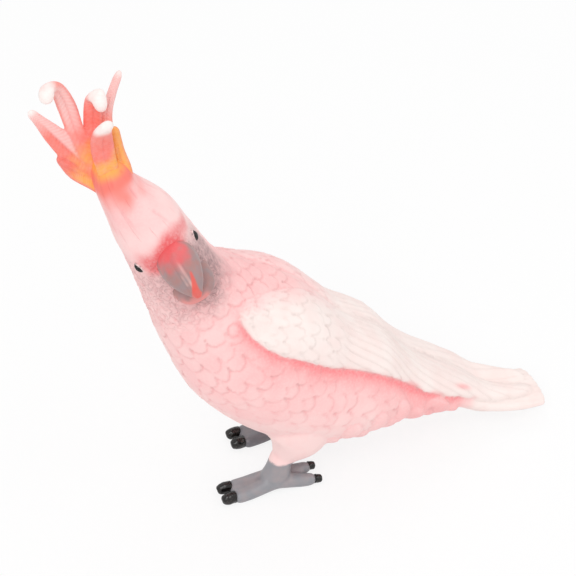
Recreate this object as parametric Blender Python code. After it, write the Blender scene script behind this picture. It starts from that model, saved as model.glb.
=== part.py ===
"""A cockatoo figurine, moulded in one piece of soft PVC.

The bird stands on two flat-soled feet with its back sloping to a low tail. Its neck leans
forward, its head is turned a quarter turn to its left, and its crest is raised and fanned.

The head end points to -X and the tail to +X. The bird's left side is -Y, the side the face
looks to. Z is up from the floor. Sizes are in metres and angles in degrees.
"""

import math

import bmesh
import bpy
import numpy as np
from mathutils import Vector, noise
from mathutils.kdtree import KDTree

# Reach of the whole bird, from the middle between its legs
TAIL_REACH = 0.0815
TAIL_SWING = 0.0028
CROWN_REACH = 0.0435
CROWN_HEIGHT = 0.1135
CREST_HEIGHT = 0.0300

# Trunk, neck and head
TRUNK_WIDTH = 0.043
TRUNK_DEPTH = 0.043
NECK_WIDTH = 0.027
HEAD_WIDTH = 0.019
HEAD_LENGTH = 0.025
TAIL_WIDTH = 0.0168
TAIL_THICKNESS = 0.003

# Wings
WING_THICKNESS = 0.0022
WING_ROOT_DEPTH = 0.003
WING_SCALE_RISE = 0.00045
COVERT_LENGTH = 0.0050
FLIGHT_FEATHER_RISE = 0.0005
FLIGHT_FEATHER_WIDTH = 0.0022
FEATHER_FAN = 0.09

# Beak
BEAK_WIDTH = 0.0106
BEAK_DEPTH = 0.0108
CHIN_WIDTH = 0.0116

# Eyes
EYE_WIDTH = 0.0030
EYE_HEIGHT = 0.0017
EYE_RISE = 0.0006

# Crest
CREST_THICKNESS = 0.0026
CREST_WIDTH = 0.0060

# Legs and feet
LEG_SPREAD = 0.0206
FOOT_STAGGER = 0.0096
ANKLE_HEIGHT = 0.0095
ANKLE_WIDTH = 0.0066
THIGH_WIDTH = 0.0195
TOE_WIDTH = 0.0042
TOE_THICKNESS = 0.0040
FRONT_TOE_REACH = 0.0122
REAR_TOE_REACH = 0.0128
CLAW_LENGTH = 0.0046
CLAW_WIDTH = 0.0029
SOLE_DEPTH = 0.0007

# Body feathers
SCALE_WIDTH = 0.0052
SCALE_LENGTH = 0.0045
SCALE_RISE = 0.00055
NECK_CURL = 0.0016

# Loose feathers under the tail
LOBE_LENGTH = 0.0100
LOBE_WIDTH = 0.0100
LOBE_THICKNESS = 0.0032
LOBE_LIFT = 0.0016

# Surface
VOXEL = 0.0007
MOST_TRIANGLES = 11500

LEFT = -1
RIGHT = 1

# Each station of the spine, from the tail's end to the crown: x, y and z of its centre, then half
# its breadth along Y and half its depth in the upright plane.
SPINE = (
    (TAIL_REACH, -TAIL_SWING, 0.051 * CROWN_HEIGHT, 0.50 * TAIL_WIDTH, 0.55 * TAIL_THICKNESS),
    (0.883 * TAIL_REACH, -0.93 * TAIL_SWING, 0.058 * CROWN_HEIGHT, 0.52 * TAIL_WIDTH, 0.85 * TAIL_THICKNESS),
    (0.750 * TAIL_REACH, -0.43 * TAIL_SWING, 0.081 * CROWN_HEIGHT, 0.56 * TAIL_WIDTH, 1.27 * TAIL_THICKNESS),
    (0.632 * TAIL_REACH, 0.0, 0.130 * CROWN_HEIGHT, 0.25 * TRUNK_WIDTH, 0.13 * TRUNK_DEPTH),
    (0.429 * TAIL_REACH, 0.0, 0.185 * CROWN_HEIGHT, 0.34 * TRUNK_WIDTH, 0.255 * TRUNK_DEPTH),
    (0.264 * TAIL_REACH, 0.0, 0.234 * CROWN_HEIGHT, 0.44 * TRUNK_WIDTH, 0.42 * TRUNK_DEPTH),
    (0.060 * TAIL_REACH, 0.0, 0.305 * CROWN_HEIGHT, 0.49 * TRUNK_WIDTH, 0.48 * TRUNK_DEPTH),
    (-0.205 * CROWN_REACH, 0.0, 0.436 * CROWN_HEIGHT, 0.50 * TRUNK_WIDTH, 0.48 * TRUNK_DEPTH),
    (-0.437 * CROWN_REACH, -0.0005, 0.548 * CROWN_HEIGHT, 0.62 * NECK_WIDTH, 0.57 * NECK_WIDTH),
    (-0.589 * CROWN_REACH, -0.0010, 0.648 * CROWN_HEIGHT, 0.50 * NECK_WIDTH, 0.43 * NECK_WIDTH),
    (-0.722 * CROWN_REACH, -0.0005, 0.767 * CROWN_HEIGHT, 0.50 * HEAD_LENGTH, 0.50 * HEAD_WIDTH),
    (-0.809 * CROWN_REACH, 0.0, 0.837 * CROWN_HEIGHT, 0.43 * HEAD_LENGTH, 0.46 * HEAD_WIDTH),
    (-0.926 * CROWN_REACH, 0.0012, 0.912 * CROWN_HEIGHT, 0.33 * HEAD_LENGTH, 0.30 * HEAD_WIDTH),
    (-0.977 * CROWN_REACH, 0.0022, 0.967 * CROWN_HEIGHT, 0.25 * HEAD_LENGTH, 0.24 * HEAD_WIDTH),
    (-CROWN_REACH, 0.0030, CROWN_HEIGHT, 0.11 * HEAD_LENGTH, 0.12 * HEAD_WIDTH),
)
CROWN = len(SPINE) - 1

# Each row of a wing, from its tip over the tail to its front edge: place on the spine, the angles
# of its lower and its inner edge, and its thickness as a share of WING_THICKNESS.
WING_ROWS = (
    (0.35, 36, 2, 1.0),
    (1.2, 46, 2, 1.1),
    (2.2, 63, 2, 1.0),
    (3.2, 71, 3, 0.9),
    (4.2, 55, 3, 1.0),
    (5.0, 53, 3, 1.1),
    (5.8, 52, 4, 1.2),
    (6.6, 60, 7, 1.2),
    (7.2, 69, 13, 1.2),
    (7.7, 70, 24, 1.1),
    (8.05, 66, 36, 1.0),
    (8.25, 59, 43, 0.8),
)

# Each loose feather under the tail, on both sides: its tip's place on the spine and around it.
LOBES = (
    (5.35, 160),
    (5.15, 138),
    (4.95, 116),
    (4.85, 158),
    (4.62, 132),
    (4.45, 106),
    (4.32, 152),
    (4.10, 124),
    (3.98, 98),
    (3.80, 148),
    (3.60, 118),
    (3.30, 142),
    (3.15, 110),
    (2.80, 130),
)

# The head's own directions, and the top of its cere: along the spine and around it.
HEAD_UP = np.array([-0.43, 0.0, 0.90])
HEAD_OUT = np.array([0.02, -1.0, 0.0])
HEAD_SIDE = np.array([0.90, 0.0, 0.43])
CERE = (10.62, -79)

# Each station of the beak's upper and lower half: how far out of the face and how far up from the
# cere, then half its width and half its depth.
UPPER_BEAK = (
    (-0.0030, -0.0050, 0.46 * BEAK_WIDTH, 0.46 * BEAK_DEPTH),
    (0.0018, -0.0050, 0.50 * BEAK_WIDTH, 0.46 * BEAK_DEPTH),
    (0.0052, -0.0060, 0.45 * BEAK_WIDTH, 0.38 * BEAK_DEPTH),
    (0.0076, -0.0080, 0.33 * BEAK_WIDTH, 0.26 * BEAK_DEPTH),
    (0.0085, -0.0100, 0.18 * BEAK_WIDTH, 0.15 * BEAK_DEPTH),
    (0.0082, -0.0115, 0.07 * BEAK_WIDTH, 0.07 * BEAK_DEPTH),
)
LOWER_BEAK = (
    (-0.0040, -0.0128, 0.50 * CHIN_WIDTH, 0.34 * BEAK_DEPTH),
    (0.0010, -0.0136, 0.50 * CHIN_WIDTH, 0.34 * BEAK_DEPTH),
    (0.0042, -0.0142, 0.42 * CHIN_WIDTH, 0.27 * BEAK_DEPTH),
    (0.0062, -0.0146, 0.26 * CHIN_WIDTH, 0.16 * BEAK_DEPTH),
)

# Where the crest is rooted, along the spine. Each of its feathers then goes from its root to its
# tip: x, y and z from there as shares of CREST_HEIGHT, then half its width and half its thickness
# as shares of CREST_WIDTH and CREST_THICKNESS.
CREST_ROOT = 12
CREST = {
    "long": (
        (-0.07, 0.01, 0.00, 0.40, 0.60),
        (-0.18, 0.08, 0.17, 0.50, 0.50),
        (-0.31, 0.16, 0.33, 0.56, 0.46),
        (-0.46, 0.20, 0.53, 0.44, 0.44),
        (-0.58, 0.22, 0.70, 0.25, 0.42),
        (-0.65, 0.24, 0.79, 0.18, 0.40),
    ),
    "low": (
        (-0.07, 0.03, 0.00, 0.40, 0.60),
        (-0.20, 0.07, 0.12, 0.44, 0.50),
        (-0.33, 0.12, 0.20, 0.38, 0.44),
        (-0.42, 0.14, 0.29, 0.22, 0.42),
        (-0.47, 0.15, 0.35, 0.10, 0.40),
    ),
    "curl": (
        (-0.08, 0.04, 0.05, 0.45, 0.60),
        (-0.18, 0.11, 0.25, 0.48, 0.52),
        (-0.28, 0.19, 0.52, 0.38, 0.48),
        (-0.33, 0.25, 0.75, 0.40, 0.46),
        (-0.40, 0.24, 0.94, 0.32, 0.46),
        (-0.49, 0.18, 0.99, 0.32, 0.62),
        (-0.53, 0.11, 0.90, 0.32, 0.66),
    ),
    "short": (
        (-0.08, 0.07, 0.08, 0.42, 0.60),
        (-0.14, 0.15, 0.31, 0.42, 0.52),
        (-0.13, 0.23, 0.58, 0.40, 0.48),
        (-0.11, 0.23, 0.80, 0.37, 0.50),
        (-0.09, 0.15, 0.85, 0.34, 0.55),
        (-0.08, 0.07, 0.75, 0.24, 0.52),
    ),
    "thin": (
        (-0.04, 0.09, 0.07, 0.40, 0.60),
        (-0.03, 0.18, 0.29, 0.36, 0.54),
        (0.00, 0.28, 0.56, 0.25, 0.44),
        (0.08, 0.37, 0.72, 0.20, 0.42),
        (0.18, 0.43, 0.89, 0.17, 0.42),
    ),
    "front": (
        (-0.04, -0.06, 0.05, 0.46, 0.60),
        (-0.10, -0.05, 0.28, 0.46, 0.54),
        (-0.13, -0.04, 0.50, 0.50, 0.52),
        (-0.13, -0.08, 0.67, 0.44, 0.52),
        (-0.08, -0.15, 0.78, 0.30, 0.54),
    ),
    "side": (
        (0.04, -0.03, 0.02, 0.40, 0.60),
        (0.05, 0.00, 0.20, 0.34, 0.52),
        (0.02, 0.05, 0.38, 0.28, 0.46),
        (0.01, 0.09, 0.59, 0.20, 0.42),
    ),
}

# Each eye's place on the skin: along the spine and around it.
EYES = (
    (10.0, -27),
    (10.18, -141),
)


def through(knots, at):
    """A smooth curve through the rows of knots, which are one unit apart, read at each value of at."""
    knots = np.asarray(knots, float)
    slopes = np.gradient(knots, axis=0)
    at = np.clip(np.asarray(at, float), 0, len(knots) - 1)
    low = np.minimum(at.astype(int), len(knots) - 2)
    t = (at - low)[:, None]
    a, b = knots[low], knots[low + 1]
    ta, tb = slopes[low], slopes[low + 1]
    return (
        a * (2 * t**3 - 3 * t**2 + 1)
        + ta * (t**3 - 2 * t**2 + t)
        + b * (3 * t**2 - 2 * t**3)
        + tb * (t**3 - t**2)
    )


def unit(vectors):
    """The same directions with a length of one."""
    return vectors / np.linalg.norm(vectors, axis=-1, keepdims=True)


def ramp(value, start, end):
    """0 at start, 1 at end and a smooth rise between them."""
    t = np.clip((value - start) / (end - start), 0, 1)
    return t * t * (3 - 2 * t)


def rounded(along, start, end):
    """How wide a form is, from 0 at its two tips to 1, with its ends rounded over these shares."""
    first = np.clip(along / start, 0, 1)
    last = np.clip((1 - along) / end, 0, 1)
    return np.sqrt(1 - (1 - first) ** 2) * np.sqrt(1 - (1 - last) ** 2)


def spine(at):
    """Centre, dorsal direction, half breadth and half depth at these places along the spine."""
    rows = through(SPINE, at)
    step = 0.02
    tangent = through(SPINE, at + step)[:, :3] - through(SPINE, at - step)[:, :3]
    dorsal = unit(np.stack([tangent[:, 2], np.zeros(len(at)), -tangent[:, 0]], 1))
    return rows[:, :3], dorsal, rows[:, 3], rows[:, 4]


def on_body(at, degrees, rise):
    """Points at this rise over the trunk's skin. 0 degrees is the back and 90 the bird's right."""
    centre, dorsal, half_y, half_n = spine(at)
    angle = np.radians(degrees)
    up, side = np.cos(angle), np.sin(angle)
    right = np.array([0.0, 1.0, 0.0])
    point = centre + dorsal * (half_n * up)[:, None] + right * (half_y * side)[:, None]
    normal = unit(dorsal * (up / half_n)[:, None] + right * (side / half_y)[:, None])
    return point + normal * np.broadcast_to(rise, len(point))[:, None]


def trunk(along, around):
    """The body from the tail's end over the back and neck to the crown."""
    centre, dorsal, half_y, half_n = spine(along * CROWN)
    size = rounded(along, 0.015, 0.03)
    right = np.array([0.0, 1.0, 0.0])
    return (
        centre
        + dorsal * (half_n * size * np.cos(around))[:, None]
        + right * (half_y * size * np.sin(around))[:, None]
    )


def wing(hand):
    """One folded wing, a cushion that wraps the flank and runs out over the tail."""

    def place(along, around):
        at, low, high, share = through(WING_ROWS, along * (len(WING_ROWS) - 1)).T
        size = rounded(along, 0.06, 0.05)
        degrees = (low + high) / 2 + (low - high) / 2 * size * np.cos(around)
        wave = np.sin(around)
        depth = np.minimum(WING_ROOT_DEPTH, 0.8 * spine(at)[3])
        bulge = 0.45 + 0.55 * ramp(np.cos(around), -1.0, 0.3)
        over = share * WING_THICKNESS * bulge * np.abs(wave) ** 0.5
        rise = np.where(wave > 0, over, -depth * np.abs(wave)) * size
        return on_body(at, hand * degrees, rise)

    return place


def limb(stations, side, start=0.1, end=0.1):
    """A round tapering form. Each station is x, y, z, half its breadth along side and half its depth."""
    stations = np.asarray(stations, float)
    side = np.asarray(side, float)

    def place(along, around):
        at = along * (len(stations) - 1)
        rows = through(stations, at)
        step = 0.03
        tangent = unit(through(stations, at + step)[:, :3] - through(stations, at - step)[:, :3])
        across = unit(side - tangent * (tangent @ side)[:, None])
        over = np.cross(tangent, across)
        size = rounded(along, start, end)
        return (
            rows[:, :3]
            + across * (rows[:, 3] * size * np.cos(around))[:, None]
            + over * (rows[:, 4] * size * np.sin(around))[:, None]
        )

    return place


def lobe(hand, at, degrees):
    """One loose, rounded feather that lies on the body with its tip a little lifted."""
    here = on_body(np.array([at, at, at + 0.1]), hand * np.array([degrees, degrees + 5, degrees]), 0.0)
    across = unit(here[1] - here[0])
    reach = 0.1 * LOBE_LENGTH / np.linalg.norm(here[2] - here[0])
    rows = []
    for step, lift, width, thickness in (
        (1.0, -1.6, 0.36, 0.40),
        (0.6, -0.6, 0.50, 0.50),
        (0.3, 0.2, 0.48, 0.48),
        (0.0, 1.0, 0.34, 0.34),
    ):
        rise = lift * LOBE_LIFT - 0.3 * LOBE_THICKNESS
        point = on_body(np.array([at + step * reach]), np.array([hand * degrees]), rise)[0]
        rows.append((*point, width * LOBE_WIDTH, thickness * LOBE_THICKNESS))
    return limb(rows, across, 0.2, 0.35)


def beak_half(stations):
    """One half of the beak, from inside the face out to its tip."""
    cere = on_body(np.array([CERE[0]]), np.array([CERE[1]]), 0.0)[0]
    rows = []
    for out, up, width, depth in stations:
        point = cere + HEAD_OUT * out + HEAD_UP * up
        rows.append((*point, width, depth))
    return limb(rows, HEAD_SIDE, 0.1, 0.12)


def crest_feather(stations):
    """One feather of the crest, from its root in the crown to its tip."""
    root = np.array(SPINE[CREST_ROOT][:3])
    rows = []
    for x, y, z, width, thickness in stations:
        point = root + CREST_HEIGHT * np.array([x, y, z])
        rows.append((*point, width * CREST_WIDTH, thickness * CREST_THICKNESS))
    return limb(rows, HEAD_SIDE, 0.06, 0.1)


def eye(at, degrees):
    """One almond-shaped eye, long across the head and standing a little out of it."""
    centre = on_body(np.array([at]), np.array([degrees]), 0.0)[0]
    skin = unit(on_body(np.array([at]), np.array([degrees]), 0.001)[0] - centre)
    along_lid = unit(np.cross(skin, HEAD_UP))
    over_lid = np.cross(skin, along_lid)

    def place(along, around):
        z = np.cos(along * math.pi)
        r = np.sin(along * math.pi)
        pinch = 1 - 0.35 * np.cos(around) ** 2
        return (
            centre
            + skin * (EYE_RISE * z)[:, None]
            + along_lid * (EYE_WIDTH / 2 * r * np.cos(around))[:, None]
            + over_lid * (EYE_HEIGHT / 2 * r * pinch * np.sin(around))[:, None]
        )

    return place


def leg_forms(hand):
    """The thigh, foot, toes and claws of one leg. Returns them as name and form."""
    y = hand * LEG_SPREAD / 2
    x = hand * FOOT_STAGGER / 2
    ankle = ANKLE_WIDTH / 2
    mid = TOE_THICKNESS / 2 - SOLE_DEPTH
    half_w, half_h = TOE_WIDTH / 2, TOE_THICKNESS / 2
    across = (0.0, 1.0, 0.0)
    forms = []
    thigh = (
        (x + 0.50 * THIGH_WIDTH, y * 0.92, 0.295 * CROWN_HEIGHT, 0.46 * THIGH_WIDTH, 0.50 * THIGH_WIDTH),
        (x + 0.46 * THIGH_WIDTH, y * 0.96, 0.220 * CROWN_HEIGHT, 0.46 * THIGH_WIDTH, 0.56 * THIGH_WIDTH),
        (x + 0.37 * THIGH_WIDTH, y, 0.150 * CROWN_HEIGHT, 0.36 * THIGH_WIDTH, 0.46 * THIGH_WIDTH),
        (x + 0.61 * ANKLE_WIDTH, y, 1.21 * ANKLE_HEIGHT, 1.12 * ankle, 1.25 * ankle),
        (x + 0.41 * ANKLE_WIDTH, y, ANKLE_HEIGHT, ankle, ankle),
        (x + 0.23 * ANKLE_WIDTH, y, 0.53 * ANKLE_HEIGHT, 1.05 * ankle, 1.2 * ankle),
        (x - 0.08 * ANKLE_WIDTH, y, mid, 1.15 * ankle, 1.3 * ankle),
    )
    forms.append(("thigh", limb(thigh, across, 0.2, 0.1)))
    web = (
        (x + 0.0060, y, mid + 0.0016, 0.9 * TOE_WIDTH, 0.9 * half_h),
        (x, y, mid + 0.0012, 0.9 * TOE_WIDTH, 1.0 * half_h),
        (x - 0.60 * FRONT_TOE_REACH, y, mid + 0.0002, 0.8 * TOE_WIDTH, 0.9 * half_h),
        (x - FRONT_TOE_REACH, y, mid, 0.7 * TOE_WIDTH, 0.85 * half_h),
    )
    forms.append(("toe", limb(web, across, 0.2, 0.1)))
    for step in (-1, 1):
        spread = step * 0.48 * TOE_WIDTH
        front = (
            (x + 0.0040, y + 0.5 * spread, mid + 0.0018, half_w, half_h),
            (x - 0.0020, y + 0.8 * spread, mid + 0.0012, half_w, 1.1 * half_h),
            (x - 0.60 * FRONT_TOE_REACH, y + spread, mid + 0.0003, half_w, half_h),
            (x - FRONT_TOE_REACH, y + 1.1 * spread, mid, 0.95 * half_w, 0.95 * half_h),
        )
        forms.append(("toe", limb(front, across, 0.1, 0.14)))
        rear = (
            (x - 0.0040, y + 0.4 * spread, mid + 0.0018, half_w, half_h),
            (x + 0.0040, y + 0.8 * spread, mid + 0.0010, half_w, 1.05 * half_h),
            (x + 0.70 * REAR_TOE_REACH, y + 1.1 * spread, mid + 0.0002, 0.90 * half_w, half_h),
            (x + REAR_TOE_REACH, y + 1.35 * spread, mid, 0.72 * half_w, 0.8 * half_h),
        )
        forms.append(("toe", limb(rear, across, 0.1, 0.2)))
        tip = x - FRONT_TOE_REACH
        claw = (
            (tip + 0.0010, y + 1.25 * spread, mid + 0.0004, CLAW_WIDTH / 2, 0.62 * CLAW_WIDTH),
            (tip - 0.35 * CLAW_LENGTH, y + 1.32 * spread, mid + 0.0002, CLAW_WIDTH / 2, 0.60 * CLAW_WIDTH),
            (tip - 0.68 * CLAW_LENGTH, y + 1.36 * spread, mid - 0.0006, 0.40 * CLAW_WIDTH, 0.38 * CLAW_WIDTH),
        )
        forms.append(("claw", limb(claw, across, 0.1, 0.3)))
        tip = x + REAR_TOE_REACH
        claw = (
            (tip - 0.0010, y + 1.38 * spread, mid + 0.0002, 0.40 * CLAW_WIDTH, 0.45 * CLAW_WIDTH),
            (tip + 0.30 * CLAW_LENGTH, y + 1.42 * spread, mid - 0.0003, 0.34 * CLAW_WIDTH, 0.38 * CLAW_WIDTH),
        )
        forms.append(("claw", limb(claw, across, 0.1, 0.3)))
    return forms


def all_forms():
    """Every form of the bird as name, place, and how many sides and rings it is drawn with."""
    forms = [
        ("trunk", trunk, 72, 150),
        ("left wing", wing(LEFT), 48, 90),
        ("right wing", wing(RIGHT), 48, 90),
        ("beak", beak_half(UPPER_BEAK), 20, 24),
        ("beak", beak_half(LOWER_BEAK), 20, 16),
    ]
    for hand in (LEFT, RIGHT):
        for at, degrees in LOBES:
            forms.append(("lobe", lobe(hand, at, degrees), 16, 16))
    for stations in CREST.values():
        forms.append(("crest", crest_feather(stations), 16, 32))
    for at, degrees in EYES:
        forms.append(("eye", eye(at, degrees), 12, 8))
    for hand in (LEFT, RIGHT):
        for name, place in leg_forms(hand):
            forms.append((name, place, 20, 24))
    return forms


def draw(forms):
    """A mesh with every form in it as its own closed sphere, pulled to shape."""
    bm = bmesh.new()
    for _, place, sides, rings in forms:
        made = bmesh.ops.create_uvsphere(bm, u_segments=sides, v_segments=rings, radius=1)
        verts = made["verts"]
        co = np.array([v.co for v in verts])
        along = np.arccos(np.clip(co[:, 2], -1, 1)) / math.pi
        around = np.arctan2(co[:, 1], co[:, 0])
        for vert, point in zip(verts, place(along, around)):
            vert.co = point
    bmesh.ops.recalc_face_normals(bm, faces=bm.faces)
    mesh = bpy.data.meshes.new("forms")
    bm.to_mesh(mesh)
    bm.free()
    return mesh


def fused(mesh, voxel):
    """The forms melted into one closed skin."""
    thing = bpy.data.objects.new("fused", mesh)
    bpy.context.scene.collection.objects.link(thing)
    remesh = thing.modifiers.new("fused", "REMESH")
    remesh.mode = "VOXEL"
    remesh.voxel_size = voxel
    soften = thing.modifiers.new("softened", "SMOOTH")
    soften.factor = 0.5
    soften.iterations = 3
    graph = bpy.context.evaluated_depsgraph_get()
    skin = bpy.data.meshes.new_from_object(thing.evaluated_get(graph))
    bpy.data.objects.remove(thing)
    return skin


def nearest(forms, points):
    """For each point the index of the nearest form, and where on it: share along and angle around."""
    spots, labels, alongs, arounds = [], [], [], []
    for index, (_, place, sides, rings) in enumerate(forms):
        a, b = np.meshgrid(
            (np.arange(rings * 2) + 0.5) / (rings * 2),
            (np.arange(sides * 2) + 0.5) / (sides * 2) * 2 * math.pi - math.pi,
            indexing="ij",
        )
        a, b = a.ravel(), b.ravel()
        spots.append(place(a, b))
        labels.append(np.full(len(a), index))
        alongs.append(a)
        arounds.append(b)
    spots = np.concatenate(spots)
    labels = np.concatenate(labels)
    alongs = np.concatenate(alongs)
    arounds = np.concatenate(arounds)
    tree = KDTree(len(spots))
    for index, spot in enumerate(spots):
        tree.insert(spot, index)
    tree.balance()
    found = np.array([tree.find(point)[1] for point in points])
    label, along, around = labels[found], alongs[found], arounds[found]
    for index, (_, place, sides, rings) in enumerate(forms):
        mine = label == index
        if not mine.any():
            continue
        a, b, target = along[mine], around[mine], points[mine]
        for _ in range(2):
            here = place(a, b)
            by_a = (place(np.clip(a + 0.001, 0, 1), b) - here) / 0.001
            by_b = (place(a, b + 0.01) - here) / 0.01
            gap = target - here
            step_a = (gap * by_a).sum(1) / np.maximum((by_a**2).sum(1), 1e-9)
            step_b = (gap * by_b).sum(1) / np.maximum((by_b**2).sum(1), 1e-9)
            a = np.clip(a + np.clip(step_a, -0.5 / rings, 0.5 / rings), 0, 1)
            b = b + np.clip(step_b, -3 / sides, 3 / sides)
        along[mine], around[mine] = a, b
    return label, along, around


def waver(points, size, seed):
    """Smooth noise from -1 to 1 with features of about this size."""
    shift = Vector((seed * 7.3, seed * 3.1, seed * 5.7))
    return np.array([noise.noise(Vector(p) / size + shift) for p in points])


def shingles(row, turn, count, lobe):
    """Overlapping scales whose free edges point to rising row. 1 at a free edge, less before it.

    row is counted in scales along the flow, turn is the share of a full turn around, and count
    gives how many scales each row has.
    """
    best = np.full(len(row), 9.0)
    for ahead in (2, 1, 0, -1):
        k = np.floor(row) + ahead
        number = count(k)
        phase = turn * number + 0.5 * np.mod(k, 2) + 0.21 * np.sin(k * 12.9898)
        centre = np.floor(phase)
        off = (phase - centre) * 2 - 1
        own = 0.22 * np.sin(centre * 7.7 + k * 3.3)
        edge = k + own + lobe * np.sqrt(np.maximum(0, 1 - np.abs(off) ** 2.4))
        best = np.where(edge >= row, np.minimum(best, edge - row), best)
    return np.clip(1 - best / (1 + lobe), 0, 1)


def body_scales(points, at, degrees):
    """The pattern of scales over the trunk, from 0 to 1. They grow towards the tail."""
    ticks = np.linspace(0, CROWN, 400)
    rows = through(SPINE, ticks)
    length = np.concatenate([[0], np.cumsum(np.linalg.norm(np.diff(rows[:, :3], axis=0), axis=1))])
    from_neck = np.interp(9.6, ticks, length) - length
    larger = 1.0 + 0.65 * ramp(-ticks, -6.0, -3.8)
    row_at = np.cumsum(np.diff(from_neck, prepend=from_neck[0]) / (SCALE_LENGTH * larger))
    row_at -= np.interp(9.6, ticks, row_at)
    girth = math.pi * (rows[:, 3] + rows[:, 4])

    def count(k):
        tick = np.interp(k, row_at[::-1], ticks[::-1])
        wide = SCALE_WIDTH * (1.0 + 0.65 * ramp(-tick, -6.0, -3.8))
        return np.maximum(6, np.round(np.interp(tick, ticks, girth) / wide))

    row = np.interp(at, ticks, row_at) + 0.35 * waver(points, 0.012, 1)
    turn = degrees / 360 + 0.012 * waver(points, 0.009, 2)
    return shingles(row, turn, count, 0.8)


def trunk_relief(points, along, around):
    """Rise of the feathers carved over the trunk, the neck and the tail."""
    at = along * CROWN
    degrees = np.degrees(np.arctan2(np.sin(around), np.cos(around)))
    scales = body_scales(points, at, degrees)
    under = ramp(np.abs(degrees), 60, 100)
    body = ramp(at, 2.7, 3.3) * (1 - ramp(at, 8.4, 9.3))
    smooth = ramp(np.abs(degrees), 125, 160) * ramp(at, 4.6, 5.4) * (1 - ramp(at, 6.2, 7.0))
    rise = SCALE_RISE * body * (1 - 0.6 * smooth) * (0.55 + 0.45 * under) * (scales - 0.4)
    curls = waver(points, NECK_CURL, 3) + 0.5 * waver(points, 0.55 * NECK_CURL, 4)
    neck = ramp(at, 8.2, 9.0) * (1 - ramp(at, 10.0, 10.7))
    rise += SCALE_RISE * 0.9 * neck * curls
    tail = 1 - ramp(at, 2.0, 3.0)
    vane = np.abs(np.mod(points[:, 1] / (TAIL_WIDTH / 6) + 0.5, 1) * 2 - 1)
    return rise + 0.5 * SCALE_RISE * tail * (0.3 - vane**3)


def wing_relief(points, along, around):
    """Rise of the scales on a wing's shoulder and of its long flight feathers."""
    at, low, high, _ = through(WING_ROWS, along * (len(WING_ROWS) - 1)).T
    size = np.maximum(rounded(along, 0.06, 0.05), 0.05)
    degrees = (low + high) / 2 + (low - high) / 2 * size * np.cos(around)
    front = through(SPINE, [8.15])[0, :3]
    line = unit(through(SPINE, [0.45])[0, :3] - front)
    reach = (points - front) @ line
    across = (np.cos(around) * size + 1) / 2
    wave = waver(points, 0.010, 5)
    row = reach / COVERT_LENGTH + 0.3 * wave + 0.5 * np.sin(across * 3.2)
    turn = across * 0.8 + 0.02 * waver(points, 0.007, 6)
    scales = shingles(row, turn, lambda k: 9 - np.clip(k, 0, 8) * 0.35 // 1, 0.75)
    flight = ramp(reach + 0.008 * across, 0.040, 0.045)
    _, _, half_y, half_n = spine(at)
    from_back = np.radians(degrees) * (half_y + half_n) / 2
    lines = (from_back - FEATHER_FAN * reach) / FLIGHT_FEATHER_WIDTH + 0.06 * wave
    vane = np.mod(lines, 1)
    feathers = np.where(vane < 0.84, vane / 0.84, (1 - vane) / 0.16)
    top = ramp(np.sin(around), -0.2, 0.0) * ramp(along, 0.0, 0.05)
    rise = WING_SCALE_RISE * (1 - flight) * (scales - 0.4)
    return top * (rise + FLIGHT_FEATHER_RISE * flight * (feathers - 0.6))


def crest_relief(along, around):
    """Rise beside the shaft line of a crest feather."""
    over = np.abs(np.cos(around))
    return -0.00035 * (1 - ramp(over, 0.0, 0.22)) * (1 - ramp(along, 0.75, 0.95))


def carve(mesh, forms):
    """Moves the skin in and out along its normals to carve the plumage."""
    count = len(mesh.vertices)
    co = np.empty(count * 3)
    mesh.vertices.foreach_get("co", co)
    co = co.reshape(-1, 3)
    normals = np.empty(count * 3)
    mesh.vertex_normals.foreach_get("vector", normals)
    normals = normals.reshape(-1, 3)
    label, along, around = nearest(forms, co)
    rise = np.zeros(count)
    for index, (name, _, _, _) in enumerate(forms):
        mine = label == index
        if not mine.any():
            continue
        if name == "trunk":
            rise[mine] = trunk_relief(co[mine], along[mine], around[mine])
        if name in ("left wing", "right wing"):
            rise[mine] = wing_relief(co[mine], along[mine], around[mine])
        if name == "crest":
            rise[mine] = crest_relief(along[mine], around[mine])
    co += normals * rise[:, None]
    mesh.vertices.foreach_set("co", co.ravel())
    mesh.update()


def thinned(mesh, most):
    """The same skin with no more than this many triangles."""
    thing = bpy.data.objects.new("thinned", mesh)
    bpy.context.scene.collection.objects.link(thing)
    triangles = sum(len(p.vertices) - 2 for p in mesh.polygons)
    reduce = thing.modifiers.new("fewer", "DECIMATE")
    reduce.ratio = min(1, most / triangles)
    reduce.use_collapse_triangulate = True
    graph = bpy.context.evaluated_depsgraph_get()
    skin = bpy.data.meshes.new_from_object(thing.evaluated_get(graph))
    bpy.data.objects.remove(thing)
    return skin


def flat_soles(mesh):
    """Cuts the feet flat at the floor."""
    bm = bmesh.new()
    bm.from_mesh(mesh)
    bmesh.ops.bisect_plane(
        bm,
        geom=bm.verts[:] + bm.edges[:] + bm.faces[:],
        dist=1e-6,
        plane_co=(0, 0, 0),
        plane_no=(0, 0, 1),
        clear_inner=True,
    )
    rim = [e for e in bm.edges if e.is_boundary]
    bmesh.ops.holes_fill(bm, edges=rim, sides=0)
    bmesh.ops.remove_doubles(bm, verts=bm.verts, dist=2e-6)
    bmesh.ops.triangulate(bm, faces=bm.faces)
    bmesh.ops.recalc_face_normals(bm, faces=bm.faces)
    bm.to_mesh(mesh)
    bm.free()


def centred(mesh):
    """Moves the bird along the floor until the middle of its box is over the origin."""
    co = np.empty(len(mesh.vertices) * 3)
    mesh.vertices.foreach_get("co", co)
    co = co.reshape(-1, 3)
    middle = (co.min(axis=0) + co.max(axis=0)) / 2
    co[:, :2] -= middle[:2]
    mesh.vertices.foreach_set("co", co.ravel())
    mesh.update()


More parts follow.
